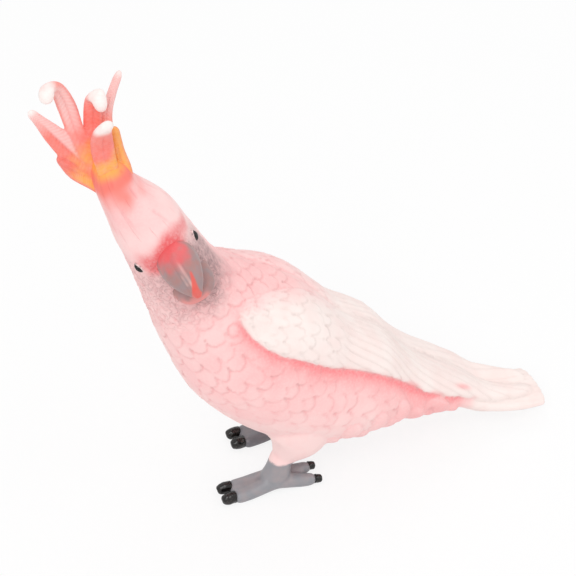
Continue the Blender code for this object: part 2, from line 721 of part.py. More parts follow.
def pvc():
    """The moulded PVC of the bird."""
    material = bpy.data.materials.new("painted_pvc")
    material.use_nodes = True
    shader = material.node_tree.nodes["Principled BSDF"]
    shader.inputs["Base Color"].default_value = (0.90, 0.56, 0.54, 1)
    shader.inputs["Roughness"].default_value = 0.55
    return material


def main():
    """Builds the figurine as one object."""
    for old in list(bpy.data.objects):
        bpy.data.objects.remove(old)
    forms = all_forms()
    skin = fused(draw(forms), VOXEL)
    carve(skin, forms)
    skin = thinned(skin, MOST_TRIANGLES)
    flat_soles(skin)
    centred(skin)
    skin.materials.clear()
    skin.materials.append(pvc())
    figure = bpy.data.objects.new("bird_figurine", skin)
    skin.name = "bird_figurine"
    bpy.context.scene.collection.objects.link(figure)


main()
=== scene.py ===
"""Dresses the cockatoo figurine: carved plumage, crest, beak, eyes and claws in painted PVC.

Everything is drawn in the bird's own frame, with the head end at -X, the face towards -Y and the
floor at Z 0, and is then moved by OFFSET to where the frame holds the bird.
"""

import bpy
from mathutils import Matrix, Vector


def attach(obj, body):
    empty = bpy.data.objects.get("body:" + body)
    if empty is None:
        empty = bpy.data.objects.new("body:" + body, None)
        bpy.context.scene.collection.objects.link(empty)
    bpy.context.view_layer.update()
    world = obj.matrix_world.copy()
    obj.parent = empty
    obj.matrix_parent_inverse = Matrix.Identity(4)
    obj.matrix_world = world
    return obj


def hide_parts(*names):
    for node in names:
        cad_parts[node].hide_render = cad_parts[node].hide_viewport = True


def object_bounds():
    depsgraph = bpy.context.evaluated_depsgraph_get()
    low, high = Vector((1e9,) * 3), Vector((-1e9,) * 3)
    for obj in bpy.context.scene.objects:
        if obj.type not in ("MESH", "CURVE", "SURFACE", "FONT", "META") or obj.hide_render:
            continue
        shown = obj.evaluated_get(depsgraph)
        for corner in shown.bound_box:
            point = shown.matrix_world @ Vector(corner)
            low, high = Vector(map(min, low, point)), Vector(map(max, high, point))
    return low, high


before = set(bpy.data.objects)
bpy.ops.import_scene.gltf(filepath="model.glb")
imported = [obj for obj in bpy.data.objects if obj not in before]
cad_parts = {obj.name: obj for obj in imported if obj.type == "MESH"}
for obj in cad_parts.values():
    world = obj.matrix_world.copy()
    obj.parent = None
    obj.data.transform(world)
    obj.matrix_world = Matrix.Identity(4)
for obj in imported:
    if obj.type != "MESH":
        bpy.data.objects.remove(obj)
CAD_BOX = [list(corner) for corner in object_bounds()]

import math

import bmesh
import bpy
import numpy as np
from bpy.props import FloatProperty, FloatVectorProperty, PointerProperty
from mathutils import Color, Vector, noise
from mathutils.kdtree import KDTree

bl_info = {
    "name": "Cockatoo figurine",
    "version": (1, 0, 0),
    "blender": (4, 5, 0),
    "location": "View3D > Sidebar > Cockatoo",
    "description": "Builds a painted PVC cockatoo figurine and its stage",
    "category": "Add Mesh",
}

# Reach of the whole bird, from the middle between its legs
TAIL_REACH = 0.0815
TAIL_SWING = 0.0028
CROWN_REACH = 0.0435
CROWN_HEIGHT = 0.1135
CREST_HEIGHT = 0.0300

# Trunk, neck and head
TRUNK_WIDTH = 0.043
TRUNK_DEPTH = 0.043
NECK_WIDTH = 0.027
HEAD_WIDTH = 0.019
HEAD_LENGTH = 0.025
TAIL_WIDTH = 0.0168
TAIL_THICKNESS = 0.003

# Wings
WING_THICKNESS = 0.0022
WING_ROOT_DEPTH = 0.003
COVERT_LENGTH = 0.0050
FLIGHT_FEATHER_WIDTH = 0.0022
FEATHER_FAN = 0.09

# Beak
BEAK_WIDTH = 0.0106
BEAK_DEPTH = 0.0108
CHIN_WIDTH = 0.0116

# Crest
CREST_THICKNESS = 0.0026
CREST_WIDTH = 0.0060

# Legs and feet
LEG_SPREAD = 0.0206
FOOT_STAGGER = 0.0096
ANKLE_HEIGHT = 0.0095
ANKLE_WIDTH = 0.0066
THIGH_WIDTH = 0.0195
TOE_WIDTH = 0.0042
TOE_THICKNESS = 0.0040
FRONT_TOE_REACH = 0.0122
REAR_TOE_REACH = 0.0128
CLAW_LENGTH = 0.0046
SOLE_DEPTH = 0.0007

# Body feathers
SCALE_WIDTH = 0.0052
SCALE_LENGTH = 0.0045

# Loose feathers under the tail
LOBE_LENGTH = 0.0100
LOBE_WIDTH = 0.0100
LOBE_THICKNESS = 0.0032
LOBE_LIFT = 0.0016

# Fine relief, the edge length of the beak's mesh, and the mean radius of the flanks
STROKE_DEPTH = 0.0002
SHAFT_DEPTH = 0.00022
KEEL_RISE = 0.0003
BEAK_GRAIN = 0.00022
BRUSH_RELIEF = 0.00012
FLANK_RADIUS = 0.019

# How far the eyes and their lids stand out, and how much longer and higher a lid is than its eye
EYE_RISE = 0.0011
LID_RISE = 0.0006
LID_LENGTH_OVER = 0.0004
LID_HEIGHT_OVER = 0.0003

LEFT = -1
RIGHT = 1

# Each station of the spine, from the tail's end to the crown: x, y and z of its centre, then half
# its breadth along Y and half its depth in the upright plane.
SPINE = (
    (TAIL_REACH, -TAIL_SWING, 0.051 * CROWN_HEIGHT, 0.50 * TAIL_WIDTH, 0.55 * TAIL_THICKNESS),
    (0.883 * TAIL_REACH, -0.93 * TAIL_SWING, 0.058 * CROWN_HEIGHT, 0.52 * TAIL_WIDTH, 0.85 * TAIL_THICKNESS),
    (0.750 * TAIL_REACH, -0.43 * TAIL_SWING, 0.081 * CROWN_HEIGHT, 0.56 * TAIL_WIDTH, 1.27 * TAIL_THICKNESS),
    (0.632 * TAIL_REACH, 0.0, 0.130 * CROWN_HEIGHT, 0.25 * TRUNK_WIDTH, 0.13 * TRUNK_DEPTH),
    (0.429 * TAIL_REACH, 0.0, 0.185 * CROWN_HEIGHT, 0.34 * TRUNK_WIDTH, 0.255 * TRUNK_DEPTH),
    (0.264 * TAIL_REACH, 0.0, 0.234 * CROWN_HEIGHT, 0.44 * TRUNK_WIDTH, 0.42 * TRUNK_DEPTH),
    (0.060 * TAIL_REACH, 0.0, 0.305 * CROWN_HEIGHT, 0.49 * TRUNK_WIDTH, 0.48 * TRUNK_DEPTH),
    (-0.205 * CROWN_REACH, 0.0, 0.436 * CROWN_HEIGHT, 0.50 * TRUNK_WIDTH, 0.48 * TRUNK_DEPTH),
    (-0.437 * CROWN_REACH, -0.0005, 0.548 * CROWN_HEIGHT, 0.62 * NECK_WIDTH, 0.57 * NECK_WIDTH),
    (-0.589 * CROWN_REACH, -0.0010, 0.648 * CROWN_HEIGHT, 0.50 * NECK_WIDTH, 0.43 * NECK_WIDTH),
    (-0.722 * CROWN_REACH, -0.0005, 0.767 * CROWN_HEIGHT, 0.50 * HEAD_LENGTH, 0.50 * HEAD_WIDTH),
    (-0.809 * CROWN_REACH, 0.0, 0.837 * CROWN_HEIGHT, 0.43 * HEAD_LENGTH, 0.46 * HEAD_WIDTH),
    (-0.926 * CROWN_REACH, 0.0012, 0.912 * CROWN_HEIGHT, 0.33 * HEAD_LENGTH, 0.30 * HEAD_WIDTH),
    (-0.977 * CROWN_REACH, 0.0022, 0.967 * CROWN_HEIGHT, 0.25 * HEAD_LENGTH, 0.24 * HEAD_WIDTH),
    (-CROWN_REACH, 0.0030, CROWN_HEIGHT, 0.11 * HEAD_LENGTH, 0.12 * HEAD_WIDTH),
)
CROWN = len(SPINE) - 1

# Each row of a wing, from its tip over the tail to its front edge: place on the spine, the angles
# of its lower and its inner edge, and its thickness as a share of WING_THICKNESS.
WING_ROWS = (
    (0.35, 36, 2, 1.0),
    (1.2, 46, 2, 1.1),
    (2.2, 63, 2, 1.0),
    (3.2, 71, 3, 0.9),
    (4.2, 55, 3, 1.0),
    (5.0, 53, 3, 1.1),
    (5.8, 52, 4, 1.2),
    (6.6, 60, 7, 1.2),
    (7.2, 69, 13, 1.2),
    (7.7, 70, 24, 1.1),
    (8.05, 66, 36, 1.0),
    (8.25, 59, 43, 0.8),
)

# The shares of a wing's length over which its tip and its front edge are rounded.
WING_ENDS = (0.06, 0.05)

# Each loose feather under the tail, on both sides: its tip's place on the spine and around it.
LOBES = (
    (5.35, 160),
    (5.15, 138),
    (4.95, 116),
    (4.85, 158),
    (4.62, 132),
    (4.45, 106),
    (4.32, 152),
    (4.10, 124),
    (3.98, 98),
    (3.80, 148),
    (3.60, 118),
    (3.30, 142),
    (3.15, 110),
    (2.80, 130),
)

# The head's own directions, and the top of its cere: along the spine and around it.
HEAD_UP = np.array([-0.43, 0.0, 0.90])
HEAD_OUT = np.array([0.02, -1.0, 0.0])
HEAD_SIDE = np.array([0.90, 0.0, 0.43])
CERE = (10.62, -79)

# Each station of the beak's upper and lower half: how far out of the face and how far up from the
# cere, then half its width and half its depth.
UPPER_BEAK = (
    (-0.0030, -0.0050, 0.46 * BEAK_WIDTH, 0.46 * BEAK_DEPTH),
    (0.0018, -0.0050, 0.50 * BEAK_WIDTH, 0.46 * BEAK_DEPTH),
    (0.0052, -0.0060, 0.45 * BEAK_WIDTH, 0.38 * BEAK_DEPTH),
    (0.0076, -0.0080, 0.33 * BEAK_WIDTH, 0.26 * BEAK_DEPTH),
    (0.0085, -0.0100, 0.18 * BEAK_WIDTH, 0.15 * BEAK_DEPTH),
    (0.0082, -0.0115, 0.07 * BEAK_WIDTH, 0.07 * BEAK_DEPTH),
)
LOWER_BEAK = (
    (-0.0040, -0.0128, 0.50 * CHIN_WIDTH, 0.34 * BEAK_DEPTH),
    (0.0010, -0.0136, 0.50 * CHIN_WIDTH, 0.34 * BEAK_DEPTH),
    (0.0042, -0.0142, 0.42 * CHIN_WIDTH, 0.27 * BEAK_DEPTH),
    (0.0062, -0.0146, 0.26 * CHIN_WIDTH, 0.16 * BEAK_DEPTH),
)

# Where the crest is rooted, along the spine. Each of its feathers then goes from its root to its
# tip: x, y and z from there as shares of CREST_HEIGHT, then half its width and half its thickness
# as shares of CREST_WIDTH and CREST_THICKNESS.
CREST_ROOT = 12
CREST = {
    "long": (
        (-0.07, 0.01, 0.00, 0.40, 0.60),
        (-0.18, 0.08, 0.17, 0.50, 0.50),
        (-0.31, 0.16, 0.33, 0.56, 0.46),
        (-0.46, 0.20, 0.53, 0.44, 0.44),
        (-0.58, 0.22, 0.70, 0.25, 0.42),
        (-0.65, 0.24, 0.79, 0.18, 0.40),
    ),
    "low": (
        (-0.07, 0.03, 0.00, 0.40, 0.60),
        (-0.20, 0.07, 0.12, 0.44, 0.50),
        (-0.33, 0.12, 0.20, 0.38, 0.44),
        (-0.42, 0.14, 0.29, 0.22, 0.42),
        (-0.47, 0.15, 0.35, 0.10, 0.40),
    ),
    "curl": (
        (-0.08, 0.04, 0.05, 0.45, 0.60),
        (-0.18, 0.11, 0.25, 0.48, 0.52),
        (-0.28, 0.19, 0.52, 0.38, 0.48),
        (-0.33, 0.25, 0.75, 0.40, 0.46),
        (-0.40, 0.24, 0.94, 0.32, 0.46),
        (-0.49, 0.18, 0.99, 0.32, 0.62),
        (-0.53, 0.11, 0.90, 0.32, 0.66),
    ),
    "short": (
        (-0.08, 0.07, 0.08, 0.42, 0.60),
        (-0.14, 0.15, 0.31, 0.42, 0.52),
        (-0.13, 0.23, 0.58, 0.40, 0.48),
        (-0.11, 0.23, 0.80, 0.37, 0.50),
        (-0.09, 0.15, 0.85, 0.34, 0.55),
        (-0.08, 0.07, 0.75, 0.24, 0.52),
    ),
    "thin": (
        (-0.04, 0.09, 0.07, 0.40, 0.60),
        (-0.03, 0.18, 0.29, 0.36, 0.54),
        (0.00, 0.28, 0.56, 0.25, 0.44),
        (0.08, 0.37, 0.72, 0.20, 0.42),
        (0.18, 0.43, 0.89, 0.17, 0.42),
    ),
    "front": (
        (-0.04, -0.06, 0.05, 0.46, 0.60),
        (-0.10, -0.05, 0.28, 0.46, 0.54),
        (-0.13, -0.04, 0.50, 0.50, 0.52),
        (-0.13, -0.08, 0.67, 0.44, 0.52),
        (-0.08, -0.15, 0.78, 0.30, 0.54),
    ),
    "side": (
        (0.04, -0.03, 0.02, 0.40, 0.60),
        (0.05, 0.00, 0.20, 0.34, 0.52),
        (0.02, 0.05, 0.38, 0.28, 0.46),
        (0.01, 0.09, 0.59, 0.20, 0.42),
    ),
}

# Each eye's place on the skin: along the spine and around it.
EYES = (
    (10.0, -27),
    (10.18, -141),
)

# How far each eye's front corner is turned down, in degrees.
EYE_SLANT = 55

# No throat curl is carved nearer to an eye than the first of these, and all are past the second.
EYE_CLEARANCE = (0.0018, 0.0036)

# The ring-shaped curl ahead of the left wing: along the spine and around it, its radius, the half
# width and the depth of its groove, and how high it stands inside.
LOOSE_CURL = (8.10, -76)
LOOSE_CURL_RADIUS = 0.0018
LOOSE_CURL_GROOVE = 0.00032
LOOSE_CURL_DEPTH = 0.00035
LOOSE_CURL_RISE = 0.0002

# Where the rows of the body's scales are counted from, along the spine.
NECK = 9.6

# The front edge of the off-white paint, and how soft it is: at these degrees around the body,
# places along the spine.
IVORY_EDGE = (
    (-75, 8.35),
    (-59, 8.25),
    (-42, 8.00),
    (-22, 7.40),
    (-12, 6.85),
    (0, 6.60),
    (15, 6.50),
    (75, 6.70),
)
IVORY_SOFTNESS = ((-75, 0.08), (-45, 0.25), (-20, 0.70), (0, 1.10))

# What the plumage keeps at each of its points, for its paint to read. The ones in SOFTENED are
# averaged over the points round them, and the ones in OPEN are not held between 0 and 1.
SKIN_MARKS = (
    "crease",
    "white",
    "rose",
    "grey",
    "red",
    "pale",
    "curl",
    "coral",
    "gold",
    "flight",
    "lines",
    "reach",
    "turn",
    "stroke",
    "foot",
)
SOFTENED = ("white", "rose", "flight")
OPEN = ("lines", "reach", "turn")

# Patterns of the paint: strokes around the head, barbs along the flight feathers, and a full turn
# in radians, near enough for a pattern.
HEAD_STROKES = 13.0
BARBS_PER_METRE = 1400.0
FULL_TURN = 6.28

PVC_IOR = 1.5

# Half the floor's side, the point that the lamps are turned to, and each lamp's name, place, power
# in watts and side.
FLOOR_REACH = 3.0
LAMPS_AIM = Vector((0, 0, 0.06))
LAMPS = (
    ("key", (-0.45, -0.65, 0.85), 4.6, 0.7),
    ("fill", (0.80, -0.35, 0.55), 1.6, 0.8),
    ("top", (0.10, 0.45, 0.95), 1.8, 0.8),
)

# The photograph's view: the camera's direction from its target in degrees, its distance, lens and
# sensor, and the target in the bird's own frame.
VIEW_AZIMUTH = -20.0
VIEW_ELEVATION = 38.5
VIEW_DISTANCE = 0.520
LENS_MM = 120.25
SENSOR_MM = 36.0
VIEW_TARGET = (0.0054, 0.0040, 0.0579)

# The nodes that the paints use most.
MATH = "ShaderNodeMath"
MIX = "ShaderNodeMix"
RANGE = "ShaderNodeMapRange"
NOISE = "ShaderNodeTexNoise"

# From the bird's own frame to the loaded one, whose origin is the middle of its box. The tail's
# end is the bird's furthest point at +X. WITHIN keeps the fine carving inside the CAD's box.
TAIL_END_X = 0.0813
OFFSET = np.array([CAD_BOX[1][0] - TAIL_END_X, -0.00004, 0.0])
WITHIN = 0.9965


def linear(code):
    """The linear colour of an sRGB hex code."""
    values = [int(code[i : i + 2], 16) / 255 for i in (0, 2, 4)]
    return tuple(v / 12.92 if v <= 0.04045 else ((v + 0.055) / 1.055) ** 2.4 for v in values)


def through(knots, at):
    """A smooth curve through the rows of knots, which are one unit apart, read at each value of at."""
    knots = np.asarray(knots, float)
    slopes = np.gradient(knots, axis=0)
    at = np.clip(np.asarray(at, float), 0, len(knots) - 1)
    low = np.minimum(at.astype(int), len(knots) - 2)
    t = (at - low)[:, None]
    a, b = knots[low], knots[low + 1]
    ta, tb = slopes[low], slopes[low + 1]
    return (
        a * (2 * t**3 - 3 * t**2 + 1)
        + ta * (t**3 - 2 * t**2 + t)
        + b * (3 * t**2 - 2 * t**3)
        + tb * (t**3 - t**2)
    )


def unit(vectors):
    """The same directions with a length of one."""
    return vectors / np.linalg.norm(vectors, axis=-1, keepdims=True)


def ramp(value, start, end):
    """0 at start, 1 at end and a smooth rise between them."""
    t = np.clip((value - start) / (end - start), 0, 1)
    return t * t * (3 - 2 * t)


def rounded(along, start, end):
    """How wide a form is, from 0 at its two tips to 1, with its ends rounded over these shares."""
    first = np.clip(along / start, 0, 1)
    last = np.clip((1 - along) / end, 0, 1)
    return np.sqrt(1 - (1 - first) ** 2) * np.sqrt(1 - (1 - last) ** 2)


def waver(points, size, seed):
    """Smooth noise from -1 to 1 with features of about this size."""
    shift = Vector((seed * 7.3, seed * 3.1, seed * 5.7))
    return np.array([noise.noise(Vector(p) / size + shift) for p in points])


def spine(at):
    """Centre, dorsal direction, half breadth and half depth at these places along the spine."""
    rows = through(SPINE, at)
    step = 0.02
    tangent = through(SPINE, at + step)[:, :3] - through(SPINE, at - step)[:, :3]
    dorsal = unit(np.stack([tangent[:, 2], np.zeros(len(at)), -tangent[:, 0]], 1))
    return rows[:, :3], dorsal, rows[:, 3], rows[:, 4]


def on_body(at, degrees, rise):
    """Points at this rise over the trunk's skin. 0 degrees is the back and 90 the bird's right."""
    centre, dorsal, half_y, half_n = spine(at)
    angle = np.radians(degrees)
    up, side = np.cos(angle), np.sin(angle)
    right = np.array([0.0, 1.0, 0.0])
    point = centre + dorsal * (half_n * up)[:, None] + right * (half_y * side)[:, None]
    normal = unit(dorsal * (up / half_n)[:, None] + right * (side / half_y)[:, None])
    return point + normal * np.broadcast_to(rise, len(point))[:, None]


def skin_point(at, degrees, rise=0.0):
    """One point at this rise over the trunk's skin."""
    return on_body(np.array([at]), np.array([degrees]), rise)[0]


def trunk(along, around):
    """The body from the tail's end over the back and neck to the crown."""
    centre, dorsal, half_y, half_n = spine(along * CROWN)
    size = rounded(along, 0.015, 0.03)
    right = np.array([0.0, 1.0, 0.0])
    return (
        centre
        + dorsal * (half_n * size * np.cos(around))[:, None]
        + right * (half_y * size * np.sin(around))[:, None]
    )


def wing(hand):
    """One folded wing, a cushion that wraps the flank and runs out over the tail."""

    def place(along, around):
        at, low, high, share = through(WING_ROWS, along * (len(WING_ROWS) - 1)).T
        size = rounded(along, *WING_ENDS)
        degrees = (low + high) / 2 + (low - high) / 2 * size * np.cos(around)
        wave = np.sin(around)
        depth = np.minimum(WING_ROOT_DEPTH, 0.8 * spine(at)[3])
        bulge = 0.45 + 0.55 * ramp(np.cos(around), -1.0, 0.3)
        over = share * WING_THICKNESS * bulge * np.abs(wave) ** 0.5
        rise = np.where(wave > 0, over, -depth * np.abs(wave)) * size
        return on_body(at, hand * degrees, rise)

    return place


def limb(stations, side, start=0.1, end=0.1):
    """A round tapering form. Each station is x, y, z, half its breadth along side and half its depth."""
    stations = np.asarray(stations, float)
    side = np.asarray(side, float)

    def place(along, around):
        at = along * (len(stations) - 1)
        rows = through(stations, at)
        step = 0.03
        tangent = unit(through(stations, at + step)[:, :3] - through(stations, at - step)[:, :3])
        across = unit(side - tangent * (tangent @ side)[:, None])
        over = np.cross(tangent, across)
        size = rounded(along, start, end)
        return (
            rows[:, :3]
            + across * (rows[:, 3] * size * np.cos(around))[:, None]
            + over * (rows[:, 4] * size * np.sin(around))[:, None]
        )

    return place


def lobe(hand, at, degrees):
    """One loose, rounded feather that lies on the body with its tip a little lifted."""
    here = on_body(np.array([at, at, at + 0.1]), hand * np.array([degrees, degrees + 5, degrees]), 0.0)
    across = unit(here[1] - here[0])
    reach = 0.1 * LOBE_LENGTH / np.linalg.norm(here[2] - here[0])
    rows = []
    for step, lift, width, thickness in (
        (1.0, -1.6, 0.36, 0.40),
        (0.6, -0.6, 0.50, 0.50),
        (0.3, 0.2, 0.48, 0.48),
        (0.0, 1.0, 0.34, 0.34),
    ):
        rise = lift * LOBE_LIFT - 0.3 * LOBE_THICKNESS
        point = skin_point(at + step * reach, hand * degrees, rise)
        rows.append((*point, width * LOBE_WIDTH, thickness * LOBE_THICKNESS))
    return limb(rows, across, 0.2, 0.35)


def beak_half(stations):
    """One half of the beak, from inside the face out to its tip."""
    cere = skin_point(*CERE)
    rows = []
    for out, up, width, depth in stations:
        point = cere + HEAD_OUT * out + HEAD_UP * up
        rows.append((*point, width, depth))
    return limb(rows, HEAD_SIDE, 0.1, 0.12)


def crest_feather(stations):
    """One feather of the crest, from its root in the crown to its tip."""
    root = np.array(SPINE[CREST_ROOT][:3])
    rows = []
    for x, y, z, width, thickness in stations:
        point = root + CREST_HEIGHT * np.array([x, y, z])
        rows.append((*point, width * CREST_WIDTH, thickness * CREST_THICKNESS))
    return limb(rows, HEAD_SIDE, 0.06, 0.1)


def eye_ball(at, degrees, width, height, rise):
    """One almond-shaped eye, long across the head and standing a little out of it."""
    centre = skin_point(at, degrees)
    skin = unit(skin_point(at, degrees, 0.001) - centre)
    level = unit(np.cross(skin, HEAD_UP))
    down = np.cross(skin, level)
    slant = math.radians(EYE_SLANT) * math.copysign(1, degrees + 90)
    along_lid = level * math.cos(slant) + down * math.sin(slant)
    over_lid = np.cross(skin, along_lid)

    def place(along, around):
        z = np.cos(along * math.pi)
        r = np.sin(along * math.pi)
        pinch = 1 - 0.35 * np.cos(around) ** 2
        return (
            centre
            + skin * (rise * z)[:, None]
            + along_lid * (width / 2 * r * np.cos(around))[:, None]
            + over_lid * (height / 2 * r * pinch * np.sin(around))[:, None]
        )

    return place


def leg_forms(hand, claw_width):
    """The thigh, foot, toes and claws of one leg. Returns them as name and form."""
    y = hand * LEG_SPREAD / 2
    x = hand * FOOT_STAGGER / 2
    ankle = ANKLE_WIDTH / 2
    mid = TOE_THICKNESS / 2 - SOLE_DEPTH
    half_width, half_height = TOE_WIDTH / 2, TOE_THICKNESS / 2
    across = (0.0, 1.0, 0.0)
    forms = []
    thigh = (
        (x + 0.50 * THIGH_WIDTH, y * 0.92, 0.295 * CROWN_HEIGHT, 0.46 * THIGH_WIDTH, 0.50 * THIGH_WIDTH),
        (x + 0.46 * THIGH_WIDTH, y * 0.96, 0.220 * CROWN_HEIGHT, 0.46 * THIGH_WIDTH, 0.56 * THIGH_WIDTH),
        (x + 0.37 * THIGH_WIDTH, y, 0.150 * CROWN_HEIGHT, 0.36 * THIGH_WIDTH, 0.46 * THIGH_WIDTH),
        (x + 0.61 * ANKLE_WIDTH, y, 1.21 * ANKLE_HEIGHT, 1.12 * ankle, 1.25 * ankle),
        (x + 0.41 * ANKLE_WIDTH, y, ANKLE_HEIGHT, ankle, ankle),
        (x + 0.23 * ANKLE_WIDTH, y, 0.53 * ANKLE_HEIGHT, 1.05 * ankle, 1.2 * ankle),
        (x - 0.08 * ANKLE_WIDTH, y, mid, 1.15 * ankle, 1.3 * ankle),
    )
    forms.append(("thigh", limb(thigh, across, 0.2, 0.1)))
    web = (
        (x + 0.0060, y, mid + 0.0016, 0.9 * TOE_WIDTH, 0.9 * half_height),
        (x, y, mid + 0.0012, 0.9 * TOE_WIDTH, 1.0 * half_height),
        (x - 0.60 * FRONT_TOE_REACH, y, mid + 0.0002, 0.8 * TOE_WIDTH, 0.9 * half_height),
        (x - FRONT_TOE_REACH, y, mid, 0.7 * TOE_WIDTH, 0.85 * half_height),
    )
    forms.append(("toe", limb(web, across, 0.2, 0.1)))
    for step in (-1, 1):
        spread = step * 0.48 * TOE_WIDTH
        front = (
            (x + 0.0040, y + 0.5 * spread, mid + 0.0018, half_width, half_height),
            (x - 0.0020, y + 0.8 * spread, mid + 0.0012, half_width, 1.1 * half_height),
            (x - 0.60 * FRONT_TOE_REACH, y + spread, mid + 0.0003, half_width, half_height),
            (x - FRONT_TOE_REACH, y + 1.1 * spread, mid, 0.95 * half_width, 0.95 * half_height),
        )
        forms.append(("toe", limb(front, across, 0.1, 0.14)))
        rear = (
            (x - 0.0040, y + 0.4 * spread, mid + 0.0018, half_width, half_height),
            (x + 0.0040, y + 0.8 * spread, mid + 0.0010, half_width, 1.05 * half_height),
            (x + 0.70 * REAR_TOE_REACH, y + 1.1 * spread, mid + 0.0002, 0.90 * half_width, half_height),
            (x + REAR_TOE_REACH, y + 1.35 * spread, mid, 0.72 * half_width, 0.8 * half_height),
        )
        forms.append(("toe", limb(rear, across, 0.1, 0.2)))
        tip = x - FRONT_TOE_REACH
        claw = (
            (tip + 0.0012, y + 1.05 * spread, mid + 0.0004, claw_width / 2, 0.62 * claw_width),
            (tip - 0.35 * CLAW_LENGTH, y + 1.10 * spread, mid + 0.0002, claw_width / 2, 0.60 * claw_width),
            (tip - 0.68 * CLAW_LENGTH, y + 1.16 * spread, mid - 0.0006, 0.40 * claw_width, 0.38 * claw_width),
        )
        forms.append(("claw", limb(claw, across, 0.1, 0.3)))
        tip = x + REAR_TOE_REACH
        claw = (
            (tip - 0.0010, y + 1.38 * spread, mid + 0.0002, 0.40 * claw_width, 0.45 * claw_width),
            (tip + 0.30 * CLAW_LENGTH, y + 1.42 * spread, mid - 0.0003, 0.34 * claw_width, 0.38 * claw_width),
        )
        forms.append(("claw", limb(claw, across, 0.1, 0.3)))
    return forms


def draw(forms):
    """A mesh with every form in it as its own closed sphere, pulled to shape."""
    bm = bmesh.new()
    for _, place, sides, rings in forms:
        made = bmesh.ops.create_uvsphere(bm, u_segments=sides, v_segments=rings, radius=1)
        verts = made["verts"]
        co = np.array([v.co for v in verts])
        along = np.arccos(np.clip(co[:, 2], -1, 1)) / math.pi
        around = np.arctan2(co[:, 1], co[:, 0])
        for vert, point in zip(verts, place(along, around)):
            vert.co = point
    bmesh.ops.recalc_face_normals(bm, faces=bm.faces)
    mesh = bpy.data.meshes.new("forms")
    bm.to_mesh(mesh)
    bm.free()
    return mesh


def fused(mesh, voxel, smoothing=4):
    """The forms melted into one closed skin."""
    thing = bpy.data.objects.new("fused", mesh)
    bpy.context.scene.collection.objects.link(thing)
    remesh = thing.modifiers.new("fused", "REMESH")
    remesh.mode = "VOXEL"
    remesh.voxel_size = voxel
    soften = thing.modifiers.new("softened", "SMOOTH")
    soften.factor = 0.5
    soften.iterations = smoothing
    graph = bpy.context.evaluated_depsgraph_get()
    skin = bpy.data.meshes.new_from_object(thing.evaluated_get(graph))
    bpy.data.objects.remove(thing)
    return skin


def nearest(forms, points):
    """For each point the index of the nearest form, and where on it: share along and angle around."""
    spots, labels, alongs, arounds = [], [], [], []
    for index, (_, place, sides, rings) in enumerate(forms):
        a, b = np.meshgrid(
            (np.arange(rings * 2) + 0.5) / (rings * 2),
            (np.arange(sides * 2) + 0.5) / (sides * 2) * 2 * math.pi - math.pi,
            indexing="ij",
        )
        a, b = a.ravel(), b.ravel()
        spots.append(place(a, b))
        labels.append(np.full(len(a), index))
        alongs.append(a)
        arounds.append(b)
    spots = np.concatenate(spots)
    labels = np.concatenate(labels)
    alongs = np.concatenate(alongs)
    arounds = np.concatenate(arounds)
    tree = KDTree(len(spots))
    for index, spot in enumerate(spots):
        tree.insert(spot, index)
    tree.balance()
    found = np.array([tree.find(point)[1] for point in points])
    label, along, around = labels[found], alongs[found], arounds[found]
    for index, (_, place, sides, rings) in enumerate(forms):
        mine = label == index
        if not mine.any():
            continue
        a, b, target = along[mine], around[mine], points[mine]
        near_a, near_b = 0.001, 0.01
        for _ in range(2):
            here = place(a, b)
            by_a = (place(np.clip(a + near_a, 0, 1), b) - here) / near_a
            by_b = (place(a, b + near_b) - here) / near_b
            gap = target - here
            step_a = (gap * by_a).sum(1) / np.maximum((by_a**2).sum(1), 1e-9)
            step_b = (gap * by_b).sum(1) / np.maximum((by_b**2).sum(1), 1e-9)
            a = np.clip(a + np.clip(step_a, -0.5 / rings, 0.5 / rings), 0, 1)
            b = b + np.clip(step_b, -3 / sides, 3 / sides)
        along[mine], around[mine] = a, b
    return label, along, around


def shingles(row, turn, count, bulge):
    """Overlapping scales whose free edges point to rising row. 1 at a free edge, less before it.

    row is counted in scales along the flow, turn is the share of a full turn around, count gives
    how many scales each row has, and bulge is how far their ends are rounded out.
    """
    best = np.full(len(row), 9.0)
    for ahead in (2, 1, 0, -1):
        k = np.floor(row) + ahead
        number = count(k)
        phase = turn * number + 0.5 * np.mod(k, 2) + 0.21 * np.sin(k * 12.9898)
        centre = np.floor(phase)
        off = (phase - centre) * 2 - 1
        own = 0.22 * np.sin(centre * 7.7 + k * 3.3)
        edge = k + own + bulge * np.sqrt(np.maximum(0, 1 - np.abs(off) ** 2.4))
        best = np.where(edge >= row, np.minimum(best, edge - row), best)
    return np.clip(1 - best / (1 + bulge), 0, 1)


def growth(at):
    """How much larger than at the neck the scales are at these places along the spine."""
    return 1.0 + 0.65 * ramp(-at, -6.0, -3.8)


def body_scales(points, at, degrees):
    """The pattern of scales over the trunk, from 0 to 1. They grow towards the tail."""
    ticks = np.linspace(0, CROWN, 400)
    rows = through(SPINE, ticks)
    length = np.concatenate([[0], np.cumsum(np.linalg.norm(np.diff(rows[:, :3], axis=0), axis=1))])
    from_neck = np.interp(NECK, ticks, length) - length
    row_at = np.cumsum(np.diff(from_neck, prepend=from_neck[0]) / (SCALE_LENGTH * growth(ticks)))
    row_at -= np.interp(NECK, ticks, row_at)
    girth = math.pi * (rows[:, 3] + rows[:, 4])

    def count(k):
        tick = np.interp(k, row_at[::-1], ticks[::-1])
        wide = SCALE_WIDTH * growth(tick)
        return np.maximum(6, np.round(np.interp(tick, ticks, girth) / wide))

    row = np.interp(at, ticks, row_at) + 0.35 * waver(points, 0.012, 1)
    turn = degrees / 360 + 0.012 * waver(points, 0.009, 2)
    return shingles(row, turn, count, 0.8)


def wing_edge(at):
    """The angle of a wing's lower edge at these places along the spine."""
    rows = np.array(WING_ROWS)
    return np.interp(at, rows[:, 0], rows[:, 1])


